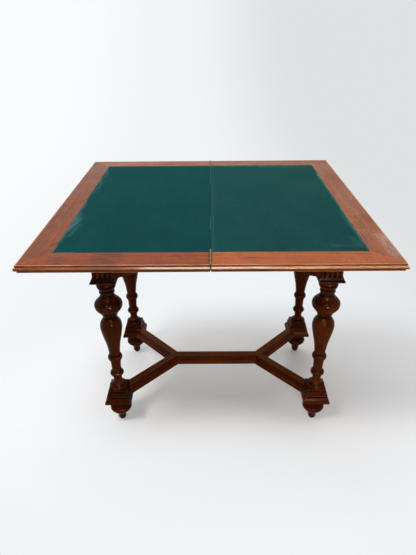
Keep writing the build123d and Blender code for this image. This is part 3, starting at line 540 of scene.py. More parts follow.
def plain_wood(name, turn, start, tint=1):
    """Unpolished softwood: ring lines from a stretched noise folded into bands, saw fuzz and dust."""
    timber = bpy.context.scene.card_table.timber
    f = Finish(name, turn, start)
    slow = f.cloud((0.5, 0.09, 0.09), colour=True)
    line = f.sway(f.place((1.3, 0.03, 0.03)), slow, 3.2)
    rings = f.noise(line, roughness=0.4)
    bands = f.maths("PINGPONG", f.times(rings, 9), 0.5)
    bands = f.between(bands, 0.02, 0.48)
    fibre = f.cloud((0.03, 0.0009, 0.0009), roughness=0.6)
    dark, pale = scaled(timber.plain_dark, tint), scaled(timber.plain_pale, tint)
    f.tone = f.tones(bands, ((0, dark), (0.35, scaled(pale, 0.8)), (1, pale)))
    f.stain(f.between(fibre, 0.35, 0.65, 0, 0.3), (0.7, 0.6, 0.52))
    grime = f.cloud((0.13, 0.13, 0.13), (0.2, 0.4, 0.1), detail=4, roughness=0.65)
    grime = f.between(grime, 0.42, 0.7, 0, 0.45)
    f.lay(grime, scaled(dark, 0.6))
    # Painted shade in the recesses.
    f.lay(f.between(f.recess(0.01), 0.35, 0.85, 0.75, 0), scaled(dark, 0.3))
    rough = f.between(fibre, 0.2, 0.8, 0.62, 0.8)
    normal = f.bump(f.plus(fibre, bands, 0.5), 0.00018, 0.7)
    return f.surface(Roughness=rough, Normal=normal, Specular_IOR_Level=0.25)


def metal(name, bright, dull, size, rough=(0.28, 0.55), pits=0.00006):
    """Worn metal: cloudy tarnish, deeper in the corners, fine scratches in two directions and small pits."""
    f = Finish(name)
    cloud = f.cloud((size,) * 3, (0.3, 0.5, 0.2), detail=5, roughness=0.62)
    tarnish = f.between(cloud, 0.36, 0.62)
    corner = f.between(f.recess(0.003), 0.35, 0.9, 1, 0)
    tarnish = f.largest(tarnish, corner)
    f.tone = f.mix(tarnish, bright, dull)
    f.lay(f.times(corner, 0.7), scaled(dull, 0.25))
    scratch = f.cloud((0.012, 0.00025, 0.00025), (0, 0, 0.5), detail=1)
    cross = f.cloud((0.01, 0.0003, 0.0003), (0.4, 0, 1.9), detail=1)
    lines = f.largest(f.between(scratch, 0.64, 0.72), f.between(cross, 0.66, 0.74))
    gloss = f.plus(f.between(tarnish, 0, 1, rough[0], rough[1]), lines, 0.12)
    pit = f.cloud((0.0012,) * 3, detail=3, roughness=0.6)
    normal = f.bump(f.plus(pit, lines, -0.5), pits, 0.8)
    return f.surface(Roughness=gloss, Normal=normal, Metallic=1)


def baize_wool(name, colour, rubbed, start, reach):
    """Woollen baize: matted fibres over a fine weave, brushed nap, dust, frayed edges, and bare where worn.

    reach is how far the sheet goes to the side and to the back, and the strength of the fray at the back."""
    f = Finish(name, start=start)
    flat = f.node("ShaderNodeUVMap", uv_map="Flat").outputs[0]
    wear = f.node("ShaderNodeAttribute", attribute_name="wear").outputs["Fac"]
    side_edge, back_edge, back_fray = reach

    def wool(across, along, turn, **noise):
        """Noise on the flat cloth."""
        return f.cloud((across, along, 1), (0, 0, turn), flat, **noise)

    def thread(direction):
        """Ridges of the weave along one direction."""
        values = {"Vector": f.place((0.001, 0.001, 1), vector=flat), "Scale": 1, "Distortion": 1.2}
        return f.node("ShaderNodeTexWave", values, bands_direction=direction).outputs[1]

    def over(mask, *by):
        """Lays the cloth's own colour times another over the tone."""
        f.lay(mask, scaled(colour, by))

    felt = wool(0.0011, 0.0011, 0.4, detail=4, roughness=0.7)
    hairs = wool(0.0042, 0.00035, 1.1, roughness=0.6)
    hairs_back = wool(0.0038, 0.00035, -0.5, roughness=0.6)
    weave = f.times(thread("X"), thread("Y"))
    brushed = wool(0.022, 0.34, 0.03, detail=3, roughness=0.6)
    cloud = wool(0.15, 0.2, 0.3, detail=3, roughness=0.55)
    f.tone = scaled(colour, (0.8, 0.9, 0.92))
    over(f.between(cloud, 0.32, 0.68), 1.3, 1.1, 1.08)
    over(f.between(brushed, 0.35, 0.7, 0, 0.22), 1.9, 1.35, 1.3)
    over(f.between(felt, 0.3, 0.72, 0.45, 0), 0.45, 0.55, 0.55)
    over(f.between(f.largest(hairs, hairs_back), 0.56, 0.74, 0, 0.35), 2.6, 1.7, 1.6)
    specks = f.cells(f.place((0.019, 0.021, 1), (0, 0, 0.2), vector=flat))
    f.lay(f.between(specks, 0.02, 0.045, 0.55, 0), rubbed)
    thin = f.plus(f.times(cloud, 0.5), felt, 0.5)
    bare = f.times(wear, f.between(thin, 0.3, 0.62, 0.55, 1.15), clamp=True)
    f.lay(bare, rubbed)

    # Frayed side edges, not near the joint, and the frayed back edge.
    u, v = f.axes(flat)[:2]
    from_joint = f.unsigned(f.axes()[0])
    torn = wool(0.006, 0.022, 0.1, detail=4, roughness=0.7)
    fray = f.between(f.unsigned(u), side_edge - 0.0052, side_edge - 0.0012)
    fray = f.times(fray, f.between(from_joint, 0.02, 0.06))
    f.lay(f.times(fray, f.between(torn, 0.4, 0.66, 0.05, 0.75)), rubbed)
    torn_back = wool(0.03, 0.008, 0.1, detail=4, roughness=0.7)
    fray_back = f.between(v, back_edge - 0.017, back_edge - 0.002)
    f.lay(f.times(fray_back, f.between(torn_back, 0.36, 0.62, 0.02, back_fray)), rubbed)

    # Matted tufts, paler cloth towards the back as a painted sheen, painted shade along the seam, and a faint
    # pale band beside it.
    matted = wool(0.0065, 0.0085, 0.7, detail=3, roughness=0.65)
    over(f.between(matted, 0.32, 0.66, 0.3, 0), 0.35, 0.62, 0.66)
    over(f.between(matted, 0.56, 0.74, 0, 0.3), 2.2, 1.45, 1.4)
    over(f.between(v, -back_edge, back_edge, 0, 0.16), 2.6, 1.75, 1.6)
    over(f.between(from_joint, 0.0007, 0.003, 0.45, 0), 1.4, 0.62, 0.5)
    over(f.window(f.axes()[0], 0.004, 0.01, 0.003), 1.7, 1.16, 1.08)

    tufts = f.times(f.maths("ADD", hairs, hairs_back), 0.3)
    height = f.plus(f.plus(tufts, weave, 0.25), felt, 0.7)
    height = f.times(height, f.between(wear, 0, 1, 1, 0.55))
    nap = {"Sheen_Weight": 0.035, "Sheen_Roughness": 0.5, "Sheen_Tint": (0.3, 0.8, 0.72, 1)}
    return f.surface(Roughness=0.96, Normal=f.bump(height, 0.0004, 0.8), Specular_IOR_Level=0.02, **nap)


def dress(names, material):
    """Puts a finish on all slots of the named CAD pieces."""
    for name in names:
        if name not in NODES:
            raise RuntimeError(f"there is no piece named {name}")
        for slot in NODES[name].material_slots:
            slot.link = "OBJECT"
            slot.material = material


# ---- shapes


def placed(name, data):
    """A new object in the scene."""
    made = bpy.data.objects.new(name, data)
    bpy.context.scene.collection.objects.link(made)
    return made


def grid_surface(name, corners, faces, material, uv=None, wear=None):
    """A mesh object from an array of points and an array of four-cornered faces."""
    mesh = bpy.data.meshes.new(name)
    mesh.vertices.add(len(corners))
    mesh.vertices.foreach_set("co", corners.astype(np.float32).ravel())
    mesh.loops.add(faces.size)
    mesh.loops.foreach_set("vertex_index", faces.astype(np.int32).ravel())
    mesh.polygons.add(len(faces))
    mesh.polygons.foreach_set("loop_start", np.arange(len(faces), dtype=np.int32) * 4)
    mesh.polygons.foreach_set("use_smooth", np.ones(len(faces), dtype=bool))
    mesh.update(calc_edges=True)
    if uv is not None:
        layer = mesh.uv_layers.new(name="Flat")
        layer.data.foreach_set("uv", uv[faces.ravel()].astype(np.float32).ravel())
    if wear is not None:
        layer = mesh.attributes.new("wear", "FLOAT", "POINT")
        layer.data.foreach_set("value", wear.astype(np.float32))
    mesh.materials.append(material)
    mesh.validate()
    return placed(name, mesh)


def grid_faces(rows, columns, wrap=False, start=0, flip=False):
    """Four-cornered faces of a grid of points counted row by row; wrap joins the last column to the first."""
    r = np.arange(rows - 1)[:, None]
    c = np.arange(columns if wrap else columns - 1)[None, :]
    nxt = (c + 1) % columns
    a, b = r * columns + c, r * columns + nxt
    d, e = (r + 1) * columns + c, (r + 1) * columns + nxt
    quads = np.stack([a, b, e, d], axis=-1).reshape(-1, 4) + start
    return quads[:, ::-1] if flip else quads


def smooth_step(value, low, high):
    """0 below low, 1 above high, an S curve between."""
    t = np.clip((value - low) / (high - low), 0, 1)
    return t * t * (3 - 2 * t)


def ripple(x, y, seed, waves=9, size=0.25):
    """Slow unevenness between -1 and 1: a sum of seeded sine waves in all directions."""
    rng = np.random.default_rng(seed)
    total = np.zeros_like(x)
    turns, phases = rng.uniform(0, 2 * math.pi, waves), rng.uniform(0, 2 * math.pi, waves)
    scales = rng.uniform(0.5, 1.6, waves)
    for turn, phase, scale in zip(turns, phases, scales):
        total += np.sin((x * math.cos(turn) + y * math.sin(turn)) * 2 * math.pi / (size * scale) + phase)
    return total / waves


def rubbed_line(x, y, at, end, width, strength, seed):
    """A rubbed line from at to end: a soft ridge across its width, broken up along it by a ripple."""
    (x0, y0), (x1, y1) = at, end
    run = math.hypot(x1 - x0, y1 - y0)
    along = ((x - x0) * (x1 - x0) + (y - y0) * (y1 - y0)) / run
    across = ((x - x0) * (y1 - y0) - (y - y0) * (x1 - x0)) / run
    body = smooth_step(along, -0.3 * width, 0.2 * run)
    body = body * (1 - smooth_step(along, 0.8 * run, run + 0.3 * width))
    uneven = 0.62 + 0.55 * ripple(x, y, seed, 8, 0.045)
    return strength * body * np.exp(-((across / width) ** 2)) * np.clip(uneven, 0, 1)


# Rubbed lines on the cloth, as (one end, other end, half width, strength, seed).
FOLDING_CLOTH_MARKS = (
    ((-0.389, 0.235), (-0.39, 0.17), 0.0045, 0.75, 11),
    ((-0.385, 0.15), (-0.3865, 0.062), 0.0022, 0.5, 12),
    ((-0.37, 0.215), (-0.38, 0.1), 0.003, 0.16, 13),
    ((-0.388, -0.02), (-0.3895, -0.1), 0.0035, 0.5, 14),
    ((-0.385, -0.1), (-0.39, -0.27), 0.006, 0.62, 15),
    ((-0.372, -0.14), (-0.386, -0.24), 0.005, 0.55, 16),
    ((-0.365, -0.19), (-0.379, -0.3), 0.0038, 0.45, 26),
    ((-0.388, 0.33), (-0.378, 0.24), 0.004, 0.4, 27),
    ((-0.383, 0.2), (-0.376, 0.06), 0.0036, 0.34, 28),
    ((-0.3885, -0.27), (-0.39, -0.33), 0.004, 0.38, 17),
    ((-0.39, -0.387), (-0.33, -0.388), 0.004, 0.3, 18),
    ((-0.38, 0.387), (-0.05, 0.3875), 0.0035, 0.26, 19),
    ((-0.392, 0.38), (-0.39, 0.3), 0.006, 0.34, 20),
    ((-0.26, -0.11), (-0.235, -0.108), 0.0012, 0.45, 21),
    ((-0.155, -0.092), (-0.13, -0.094), 0.0012, 0.32, 22),
)
FIXED_CLOTH_MARKS = (
    ((0.01, 0.383), (0.385, 0.385), 0.0085, 0.42, 31),
    ((0.15, 0.36), (0.39, 0.365), 0.01, 0.26, 32),
    ((0.389, 0.265), (0.3895, 0.235), 0.0045, 0.85, 33),
    ((0.39, 0.225), (0.3885, 0.2), 0.0035, 0.7, 34),
    ((0.39, 0.33), (0.3895, -0.1), 0.003, 0.4, 35),
    ((0.3905, -0.05), (0.3895, -0.38), 0.0036, 0.52, 36),
    ((0.29, -0.352), (0.386, -0.356), 0.008, 0.2, 37),
    ((0.364, -0.29), (0.384, -0.37), 0.006, 0.24, 38),
    ((0.379, -0.12), (0.387, -0.26), 0.004, 0.26, 42),
    ((0.0085, 0.19), (0.0085, -0.14), 0.0034, 0.16, 39),
    ((0.06, -0.06), (0.095, -0.058), 0.0012, 0.4, 40),
    ((0.19, -0.379), (0.21, -0.381), 0.0016, 0.3, 41),
)


def cloth_wear(x, y, side, half_x, half_y):
    """Where the nap is rubbed, 0 to 1: faint along all cut edges, and this leaf's own marks."""
    edge = np.minimum(half_x - np.abs(x), half_y - np.abs(y))
    faint = 0.16 * np.exp(-np.clip(edge, 0, 1) / 0.0028) * (0.6 + 0.4 * ripple(x, y, 5, 9, 0.06))
    for at, end, width, strength, seed in FOLDING_CLOTH_MARKS if side < 0 else FIXED_CLOTH_MARKS:
        faint = faint + rubbed_line(x, y, at, end, width, strength, seed)
    return np.clip(faint, 0, 1)


def lay_cloth(name, node, side, tone):
    """One sheet of baize as two skins over a rectangular grid, joined round the edge.

    The upper skin is the top height plus slow ripples, less a quarter round at the cut edges. The lower skin
    is flat on the board. The inner corners are drawn in beside the hinge barrels, and on the folding leaf the
    front edge is drawn back a little at the joint."""
    s = bpy.context.scene.card_table.cloth
    low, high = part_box(node)
    if side > 0:
        low.x -= s.meeting
    else:
        high.x += s.meeting
    width, depth = high.x - low.x, high.y - low.y
    columns, rows = round(width / s.pitch) + 1, round(depth / s.pitch) + 1

    def spaced(span, count):
        """Even steps, with three close ones at each end for the rounded edge."""
        close = np.array([0, 0.25, 0.6, 1]) * s.round_over
        middle = np.linspace(s.round_over, span - s.round_over, count)
        return np.concatenate([close[:-1], middle, span - close[:-1][::-1]])

    u, v = spaced(width, columns), spaced(depth, rows)
    notch, step = s.notch_length, NOTCH_STEP
    cut = np.concatenate([[notch - step, notch + step], depth - notch + np.array([-step, step])])
    kept = np.all(np.abs(v[:, None] - cut[None, :]) > 2 * step, axis=1)
    v = np.unique(np.concatenate([v[kept], cut]))
    grid_x, grid_y = np.meshgrid(u, v)
    from_end = np.minimum(grid_y, depth - grid_y)
    drawn = s.notch_width * (1 - smooth_step(from_end, notch - 0.0007, notch + 0.0007))
    inner = width - grid_x if side < 0 else grid_x
    moved = drawn * (1 - smooth_step(inner, 0, 0.03))
    x = low.x + grid_x + (-moved if side < 0 else moved)
    y = low.y + grid_y
    if side < 0:
        pull = CLOTH_PULL * (1 - smooth_step(width - grid_x, 0.006, 0.034))
        y = y + pull * (1 - smooth_step(grid_y, 0, 0.03))
    from_side = np.minimum(grid_x, width - grid_x)
    edge = np.minimum(from_side, from_end)
    inward = 1 - np.clip(edge / s.round_over, 0, 1)
    round_over = s.round_over * (1 - np.sqrt(np.clip(1 - inward**2, 0, 1)))
    wave = s.heave * ripple(x, y, 7 if side < 0 else 8) * smooth_step(edge, 0, 0.012)
    top = high.z - CLOTH_TOP_GAP - 0.75 * s.heave - round_over + wave
    bottom = np.full_like(x, low.z + CLOTH_FOOT_GAP)
    upper = np.stack([x, y, top], axis=-1).reshape(-1, 3)
    lower = np.stack([x, y, bottom], axis=-1).reshape(-1, 3)
    faces_up = grid_faces(*x.shape)
    faces_down = grid_faces(*x.shape, start=len(upper), flip=True)
    index = np.arange(len(upper)).reshape(x.shape)
    rim = np.concatenate([index[0, :-1], index[:-1, -1], index[-1, :0:-1], index[:0:-1, 0]])
    after = np.roll(rim, -1)
    sides = np.stack([rim, rim + len(upper), after + len(upper), after], axis=-1)
    points = np.concatenate([upper, lower])
    uv = np.tile(np.stack([x.ravel(), y.ravel()], axis=-1), (2, 1))
    wear = np.tile(cloth_wear(x * (CLOTH_REACH / width), y, side, CLOTH_REACH, depth / 2).ravel(), 2)
    reach = (width, depth / 2, 0.5 + 0.2 * side)
    material = baize_wool(name + "_wool", tone, s.rubbed_colour, (0.3 * side, 0.2, 0), reach)
    piece = grid_surface(name, points, np.concatenate([faces_up, faces_down, sides]), material, uv, wear)
    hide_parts(node)
    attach(piece, "fixed_leaf" if side > 0 else "folding_leaf")


def floor_sweep(stage):
    """The stage as a profile carried round a circle: a flat floor, a quarter round and an upright wall."""
    flat = np.linspace(0.02, 1, 24) * stage.floor_radius
    turn = np.linspace(0, math.pi / 2, 28)[1:]
    curve_r = stage.floor_radius + stage.sweep_radius * np.sin(turn)
    curve_z = stage.sweep_radius * (1 - np.cos(turn))
    radius = np.concatenate([flat, curve_r, curve_r[-1:]])
    height = np.concatenate([np.zeros_like(flat), curve_z, curve_z[-1:] + 3])
    spokes = FLOOR_SPOKES
    around = np.linspace(0, 2 * math.pi, spokes, endpoint=False)
    out, up = radius[:, None], np.repeat(height[:, None], spokes, axis=1)
    ring = np.stack([out * np.cos(around), out * np.sin(around), up], axis=-1)
    points = np.concatenate([ring.reshape(-1, 3), [[0, 0, 0]]])
    even, odd = np.arange(0, spokes, 2), np.arange(1, spokes, 2)
    cap = np.stack([np.full_like(even, len(points) - 1), even, odd, (odd + 1) % spokes], axis=-1)
    faces = np.concatenate([grid_faces(len(radius), spokes, wrap=True, flip=True), cap])
    return points, faces


def floor_finish(stage):
    """Pale paper floor near the table, which keeps its shadow, fading far out into a backdrop.

    Seen directly or in gloss the floor is pale. As a source of bounced light it is greyer. The backdrop lets
    the dome's light through. Shade is painted in towards the right and light on the left, a warm tint is
    painted into the shadow under the table, and the floor near the table glows a little to lift its shadow."""
    f = Finish("studio_floor")
    path = f.node("ShaderNodeLightPath")
    seen = f.largest(*(path.outputs[f"Is {ray} Ray"] for ray in ("Camera", "Glossy", "Transmission")))
    x, y = f.axes()[:2]
    speckle = f.cloud((0.05, 0.05, 0.05), detail=3)
    # Painted shade towards the right and painted light on the left, on floor and backdrop alike.
    dim = f.between(f.plus(x, y, 0.1), 0.15, 1.65)
    left = f.between(x, -1.9, -0.45, 1, 0)
    back = f.mix(dim, stage.far_colour, stage.shaded_side_colour)
    back = f.mix(left, back, (0.965, 0.975, 0.985))
    near = f.mix(f.times(dim, 0.7), stage.floor_colour, stage.shaded_side_colour)
    near = f.mix(left, near, (0.97, 0.975, 0.985))
    near = f.mix(f.between(speckle, 0.4, 0.6, 0, 0.012), near, (0.7, 0.7, 0.7))
    # A warm tint painted into the shadow under the table.
    under = f.times(f.window(x, -0.2, 0.45, 0.15), f.window(y, -0.25, 0.2, 0.15))
    near = f.mix(under, near, stage.shadow_tint_colour)
    paper = f.mix(path.outputs["Is Camera Ray"], stage.bounce_colour, near)
    lit = f.node("ShaderNodeBsdfDiffuse", {"Color": paper, "Roughness": 0})
    glow = f.node("ShaderNodeEmission", {"Color": back, "Strength": 1})
    clear = f.node("ShaderNodeBsdfTransparent")
    wall = f.node("ShaderNodeMixShader", {0: seen, 1: clear.outputs[0], 2: glow.outputs[0]})
    oval = f.place((1.1, 0.62, 1.1), start=(0.3, -0.07, 0))
    flat = f.node("ShaderNodeVectorMath", {0: oval}, operation="LENGTH").outputs["Value"]
    far = f.between(flat, 0.5, 1.25)
    # Painted light: near the table the floor glows a little, most in front and on the left, to lift its
    # shadow.
    lift = f.times(f.between(x, -0.4, 0.5, 1.3, 0.7), f.between(y, -0.42, -0.16, 8, 1.8))
    lift = f.largest(lift, f.between(x, -0.6, -0.36, 8, 0))
    lift = f.times(stage.shadow_lift, lift)
    far = f.largest(far, f.times(seen, lift))
    both = f.node("ShaderNodeMixShader", {0: far, 1: lit.outputs[0], 2: wall.outputs[0]})
    f.tree.links.new(both.outputs[0], f.output.inputs[0])
    return f.material


def area_lamp(name, place, target, size, power, tint):
    """A soft lamp of size (width, height) at place, facing target."""
    data = bpy.data.lights.new(name, "AREA")
    data.shape = "RECTANGLE"
    data.size, data.size_y = size
    data.energy = power
    data.color = tint
    lamp = placed(name, data)
    lamp.location = place
    lamp.rotation_euler = (Vector(target) - Vector(place)).to_track_quat("-Z", "Y").to_euler()
    return lamp


# ---- operators


class Maker:
    """What the card table's operators share."""

    bl_options = {"REGISTER", "UNDO"}


# Lamps, as (name, power, place, target, (width, height), tint, the rays that pass it by).
LAMPS = (
    ("key_lamp", "key", (-1.32, -1.37, 3.2), (0, 0, 0.4), (0.7, 0.7), (0.985, 0.99, 1), "glossy"),
    ("back_lamp", "back", (-0.3, 1.5, 3.2), (0, 0.1, 0.4), (1.5, 1.5), (0.985, 0.99, 1), "glossy"),
    ("front_strip", "strip", (-0.05, -1.5, 2.4), (0, -0.46, 0.74), (0.9, 1.5), (1, 0.985, 0.96), "diffuse"),
    ("front_box", "front", (0.52, -2.2, 0.74), (0, -0.2, 0.45), (0.5, 0.32), (1, 0.96, 0.91), None),
    ("front_gleam", "gleam", (0.52, -2.19, 1.3), (0, -0.2, 0.45), (0.24, 0.2), (1, 0.95, 0.88), "diffuse"),
)

# The dome's tilt towards the camera, and its shades below and above.
DOME_TILT = math.radians(28)
DOME_TONES = ((0.2, 0.195, 0.19), (1, 0.975, 0.96))


class CARDTABLE_OT_stage(Maker, bpy.types.Operator):
    """Make the camera, the pale floor and the soft lamps"""

    bl_idname = "cardtable.stage"
    bl_label = "Stage and Camera"

    def execute(self, context):
        s = context.scene.card_table.stage
        data = bpy.data.cameras.new("table_camera")
        data.sensor_width = 36
        data.sensor_fit = "AUTO"
        data.lens = s.lens
        data.clip_end = 60
        camera = placed("table_camera", data)
        level, fall = math.cos(s.pitch), math.sin(s.pitch)
        ahead = Vector((math.sin(s.yaw) * level, math.cos(s.yaw) * level, -fall))
        right = Vector((math.cos(s.yaw), -math.sin(s.yaw), 0))
        up = right.cross(ahead)
        straight, tip = math.cos(s.roll), math.sin(s.roll)
        right, up = right * straight + up * tip, up * straight - right * tip
        turned = Matrix((right, up, -ahead)).transposed().to_4x4()
        camera.matrix_world = Matrix.Translation((s.camera_x, s.camera_y, s.camera_z)) @ turned
        context.scene.camera = camera

        points, faces = floor_sweep(s)
        floor = grid_surface("studio_floor", points, faces, floor_finish(s))

        for name, power, place, target, size, tint, unseen in LAMPS:
            lamp = area_lamp(name, place, target, size, getattr(s, f"{power}_power"), tint)
            if unseen:
                setattr(lamp, f"visible_{unseen}", False)

        world = bpy.data.worlds.new("studio_dome")
        world.use_nodes = True
        sky = Nodes(world.node_tree)
        way = {"Vector": sky.node("ShaderNodeTexCoord").outputs["Generated"], "Rotation": (DOME_TILT, 0, 0)}
        turned = sky.node("ShaderNodeMapping", way, vector_type="VECTOR").outputs[0]
        height = sky.node("ShaderNodeSeparateXYZ", {0: turned}).outputs["Z"]
        shade = sky.node("ShaderNodeValToRGB", {"Fac": height})
        for element, tone in zip(shade.color_ramp.elements, DOME_TONES):
            element.color = (*tone, 1)
        dome = sky.tree.nodes["Background"]
        sky.feed(dome.inputs["Color"], shade.outputs[0])
        sky.feed(dome.inputs["Strength"], s.dome_strength)
        context.scene.world = world
        context.scene.view_settings.view_transform = "Standard"
        return {"FINISHED"}


class CARDTABLE_OT_baize(Maker, bpy.types.Operator):
    """Lay the two sheets of baize in their leaves"""

    bl_idname = "cardtable.baize"
    bl_label = "Baize"

    def execute(self, context):
        s = context.scene.card_table.cloth
        lay_cloth("folding_leaf_cloth", "folding_leaf_baize", -1, s.folding_colour)
        lay_cloth("fixed_leaf_cloth", "fixed_leaf_baize", 1, s.fixed_colour)
        return {"FINISHED"}


# Stains on the borders, as border_wood() takes them; the pale patch at the right border's front corner is a
# painted reflection.
SMOKE, CORNER_GLARE, GREY = (0.09, 0.03, 0.018), (0.55, 0.36, 0.3), (0.15, 0.052, 0.026)
FRONT_MARKS = (
    (-0.382, -0.368, -0.45, -0.428, 0.026, 0.02, 0.8, SMOKE),
    (-0.268, -0.24, -0.455, -0.4, 0.04, 0.02, 0.95, SMOKE),
    (-0.33, -0.29, -0.45, -0.43, 0.04, 0.02, 0.4, SMOKE),
    (-0.18, -0.11, -0.455, -0.44, 0.05, 0.014, 0.35, SMOKE),
)
LEFT_MARKS = (
    (-0.48, -0.39, 0.058, 0.11, 0.004, 0.006, 0.55, GREY),
    (-0.48, -0.39, 0.1, 0.46, 0.004, 0.02, 0.28, GREY),
    (-0.48, -0.42, -0.33, -0.3, 0.02, 0.03, 0.25, GREY),
)
RIGHT_MARKS = (
    (0.448, 0.48, -0.4, -0.3, 0.022, 0.05, 0.62, CORNER_GLARE),
    (0.39, 0.48, 0.15, 0.3, 0.004, 0.02, 0.3, GREY),
    (0.42, 0.48, -0.2, -0.15, 0.015, 0.02, 0.3, GREY),
)

# Borders, as (material, piece, grain, start, tint, ground, stains). The greyer tints of the end and back
# borders are painted sheen.
BORDERS = (
    ("front_left", "folding_leaf_front", ALONG_X, (0.31, 0.07, 0), (1.18, 1.06, 0.84), 0, FRONT_MARKS),
    ("front_right", "fixed_leaf_front", ALONG_X, (-1.21, 0.43, 0.1), (1.72, 1.92, 1.85), 0.01, ()),
    ("left", "folding_leaf_end", ALONG_Y, (0.17, 1.31, 0.2), (0.9, 1.01, 1.06), 0, LEFT_MARKS),
    ("right", "fixed_leaf_end", ALONG_Y, (0.77, 0.31, 0.3), (1.34, 1.9, 2.7), 0, RIGHT_MARKS),
    ("back_left", "folding_leaf_back", ALONG_X, (0.91, 0.57, 0.4), (1.37, 1.98, 2.45), 0, ()),
    ("back_right", "fixed_leaf_back", ALONG_X, (-0.41, 0.97, 0.5), (1.23, 1.82, 2.55), 0, ()),
)


class CARDTABLE_OT_borders(Maker, bpy.types.Operator):
    """Polish the six moulded borders of the top"""

    bl_idname = "cardtable.borders"
    bl_label = "Moulded Borders"

    def execute(self, context):
        for name, piece, turn, start, tint, ground, marks in BORDERS:
            dress([f"{piece}_border"], border_wood(f"border_{name}", turn, start, tint, ground, marks))
        return {"FINISHED"}


class CARDTABLE_OT_boards(Maker, bpy.types.Operator):
    """Polish the two boards and leave the bearer, stop block and dowels plain"""

    bl_idname = "cardtable.boards"
    bl_label = "Boards and Bearer"

    def execute(self, context):
        dress(["folding_leaf_board"], border_wood("board_left", ALONG_Y, (0.2, 0.5, 0), 1, moulded=False))
        dress(["fixed_leaf_board"], border_wood("board_right", ALONG_Y, (1.2, 0.1, 0), 0.8, moulded=False))
        dress(["pivot_bearer"], plain_wood("bearer_pine", ALONG_Y, (0.4, 0.7, 0.6), 0.8))
        dress(["swivel_stop_block"], plain_wood("stop_pine", ALONG_X, (0.9, 0.2, 0.3), 0.8))
        dress(["stretcher_dowels"], plain_wood("dowel_wood", ALONG_X, (0.1, 0.9, 0.2), 0.7))
        return {"FINISHED"}


class CARDTABLE_OT_rails(Maker, bpy.types.Operator):
    """Stain the four rails and mat the ground of their brackets"""

    bl_idname = "cardtable.rails"
    bl_label = "Rails"

    def execute(self, context):
        for place, turn in (("front", ALONG_X), ("back", ALONG_X), ("left", ALONG_Y), ("right", ALONG_Y)):
            name, axis = f"{place}_rail", 0 if turn == ALONG_X else 1
            low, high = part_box(name)
            first, last = low[axis] + RAIL_TENON, high[axis] - RAIL_TENON
            ends = (first, last, BRACKET_REACH, BRACKET_TOP, low.z + 0.004)
            start = (0.3 * axis + 0.2, low.y, 0.1)
            dress([name], frame_wood(f"{name}_stain", turn, start, punched=(axis, ends)))
        return {"FINISHED"}


# Stains of the legs, as (material, piece, corners, grain, start, tint, more). The darker tints of the left
# legs' shafts and plinths are painted shade, the paler tint of the right capitals painted light.
LEFT, RIGHT = ("front_left", "back_left"), ("front_right", "back_right")
TURNED, FLUTED = {"rings": SHAFT_SHADES}, {"fluted": True, "rings": CAPITAL_SHADES}
STEPPED = {"rings": PLINTH_SHADES, "worn": PLINTH_HIGHLIGHTS}
LEG_STAINS = (
    ("leg_stain", "leg_shaft", RIGHT, UPRIGHT, (0.13, 0.05, 0.21), 1, TURNED),
    ("leg_stain_dark", "leg_shaft", ("front_left",), UPRIGHT, (0.23, 0.45, 0.61), 0.7, TURNED),
    ("leg_stain_deep", "leg_shaft", ("back_left",), UPRIGHT, (0.43, 0.15, 0.71), 0.5, TURNED),
    ("capital_stain", "capital", LEFT, UPRIGHT, (0.53, 0.15, 0.41), 0.88, FLUTED),
    ("capital_stain_pale", "capital", RIGHT, UPRIGHT, (0.53, 0.15, 0.41), (1.14, 1.12, 0.9), FLUTED),
    ("plinth_stain", "plinth", RIGHT, ALONG_X, (0.33, 0.25, 0.11), 0.78, STEPPED),
    ("plinth_stain_dark", "plinth", LEFT, ALONG_X, (0.83, 0.65, 0.51), 0.38, STEPPED),
    ("foot_stain", "foot", CORNERS, UPRIGHT, (0.71, 0.35, 0.31), 0.66, {}),
)


class CARDTABLE_OT_legs(Maker, bpy.types.Operator):
    """Stain the capitals, turned shafts, plinths and feet"""

    bl_idname = "cardtable.legs"
    bl_label = "Legs"

    def execute(self, context):
        for name, ending, corners, turn, start, tint, more in LEG_STAINS:
            stain = frame_wood(name, turn, start, tint, **more)
            dress([f"{corner}_{ending}" for corner in corners], stain)
        return {"FINISHED"}


def stretcher_stain(name, slope, start, tint, worn):
    """The frame's wood with its grain along a stretcher piece, with painted shade at its grooves
    and a paler band on its top arris.
    """
    worn = ((*STRETCHER_ARRIS, worn),)
    return frame_wood(name, (0, 0, slope), start, tint, rings=STRETCHER_SHADES, worn=worn)


class CARDTABLE_OT_stretcher(Maker, bpy.types.Operator):
    """Stain the stretcher's centre rail and arms"""

    bl_idname = "cardtable.stretcher"
    bl_label = "Stretcher"

    def execute(self, context):
        stain = stretcher_stain("stretcher_stain", 0, (0.61, 0.12, 0.2), (1.14, 1.08, 0.6), 0.17)
        dress(["stretcher_centre_rail"], stain)
        for number, corner in enumerate(CORNERS):
            name = f"stretcher_arm_{corner}"
            low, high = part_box(name)
            slope = math.atan2(high.y - low.y, high.x - low.x)
            if corner in ("back_left", "front_right"):
                slope = -slope
            start = (0.2 * number, 0.4, 0.3)
            dress([name], stretcher_stain(f"{name}_stain", slope, start, (1.04, 1.06, 0.7), 0.26))
        return {"FINISHED"}


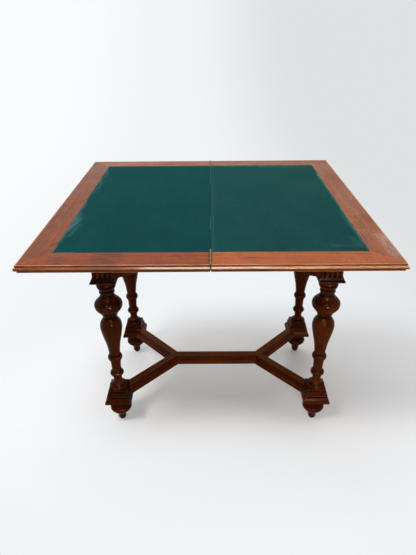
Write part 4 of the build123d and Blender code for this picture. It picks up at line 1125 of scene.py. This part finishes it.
class CARDTABLE_OT_hardware(Maker, bpy.types.Operator):
    """Finish the brass hinges and the steel pivot"""

    bl_idname = "cardtable.hardware"
    bl_label = "Hinges and Pivot"

    def execute(self, context):
        s = context.scene.card_table.metal
        brass = metal("hinge_brass_aged", s.brass_bright, s.brass_dull, 0.006)
        steel = metal("pivot_steel_old", s.steel_bright, s.steel_dull, 0.011, (0.35, 0.7), 0.00012)
        for end in ("front", "back"):
            dress([f"{end}_hinge_{part}" for part in ("fixed_plate", "folding_plate", "pin")], brass)
        dress(["fixed_leaf_hinge_screws", "folding_leaf_hinge_screws"], brass)
        dress(["pivot_plate", "pivot_plate_screws", "pivot_stud", "pivot_washer", "pivot_nut"], steel)
        return {"FINISHED"}


OPERATORS = (
    CARDTABLE_OT_stage,
    CARDTABLE_OT_baize,
    CARDTABLE_OT_borders,
    CARDTABLE_OT_boards,
    CARDTABLE_OT_rails,
    CARDTABLE_OT_legs,
    CARDTABLE_OT_stretcher,
    CARDTABLE_OT_hardware,
)


class CARDTABLE_PT_panel(bpy.types.Panel):
    """Lists the card table's sizes, colours and makers"""

    bl_label = "Card Table"
    bl_idname = "CARDTABLE_PT_panel"
    bl_space_type = "VIEW_3D"
    bl_region_type = "UI"
    bl_category = "Card Table"

    def draw(self, context):
        settings = context.scene.card_table
        for part in ("cloth", "timber", "metal", "stage"):
            group = getattr(settings, part)
            box = self.layout.box()
            box.label(text=part.capitalize())
            for prop in group.__annotations__:
                box.prop(group, prop)
        for operator in OPERATORS:
            self.layout.operator(operator.bl_idname)


GROUPS = (ClothSettings, TimberSettings, MetalSettings, StageSettings, CardTableSettings)
CLASSES = (*GROUPS, *OPERATORS, CARDTABLE_PT_panel)


def register():
    for item in CLASSES:
        bpy.utils.register_class(item)
    bpy.types.Scene.card_table = PointerProperty(type=CardTableSettings)


def unregister():
    del bpy.types.Scene.card_table
    for item in reversed(CLASSES):
        bpy.utils.unregister_class(item)


def main():
    """Registers the add-on and makes every piece in order."""
    register()
    bpy.ops.cardtable.stage()
    bpy.ops.cardtable.baize()
    bpy.ops.cardtable.borders()
    bpy.ops.cardtable.boards()
    bpy.ops.cardtable.rails()
    bpy.ops.cardtable.legs()
    bpy.ops.cardtable.stretcher()
    bpy.ops.cardtable.hardware()
    bpy.context.view_layer.update()


if __name__ == "__main__":
    main()
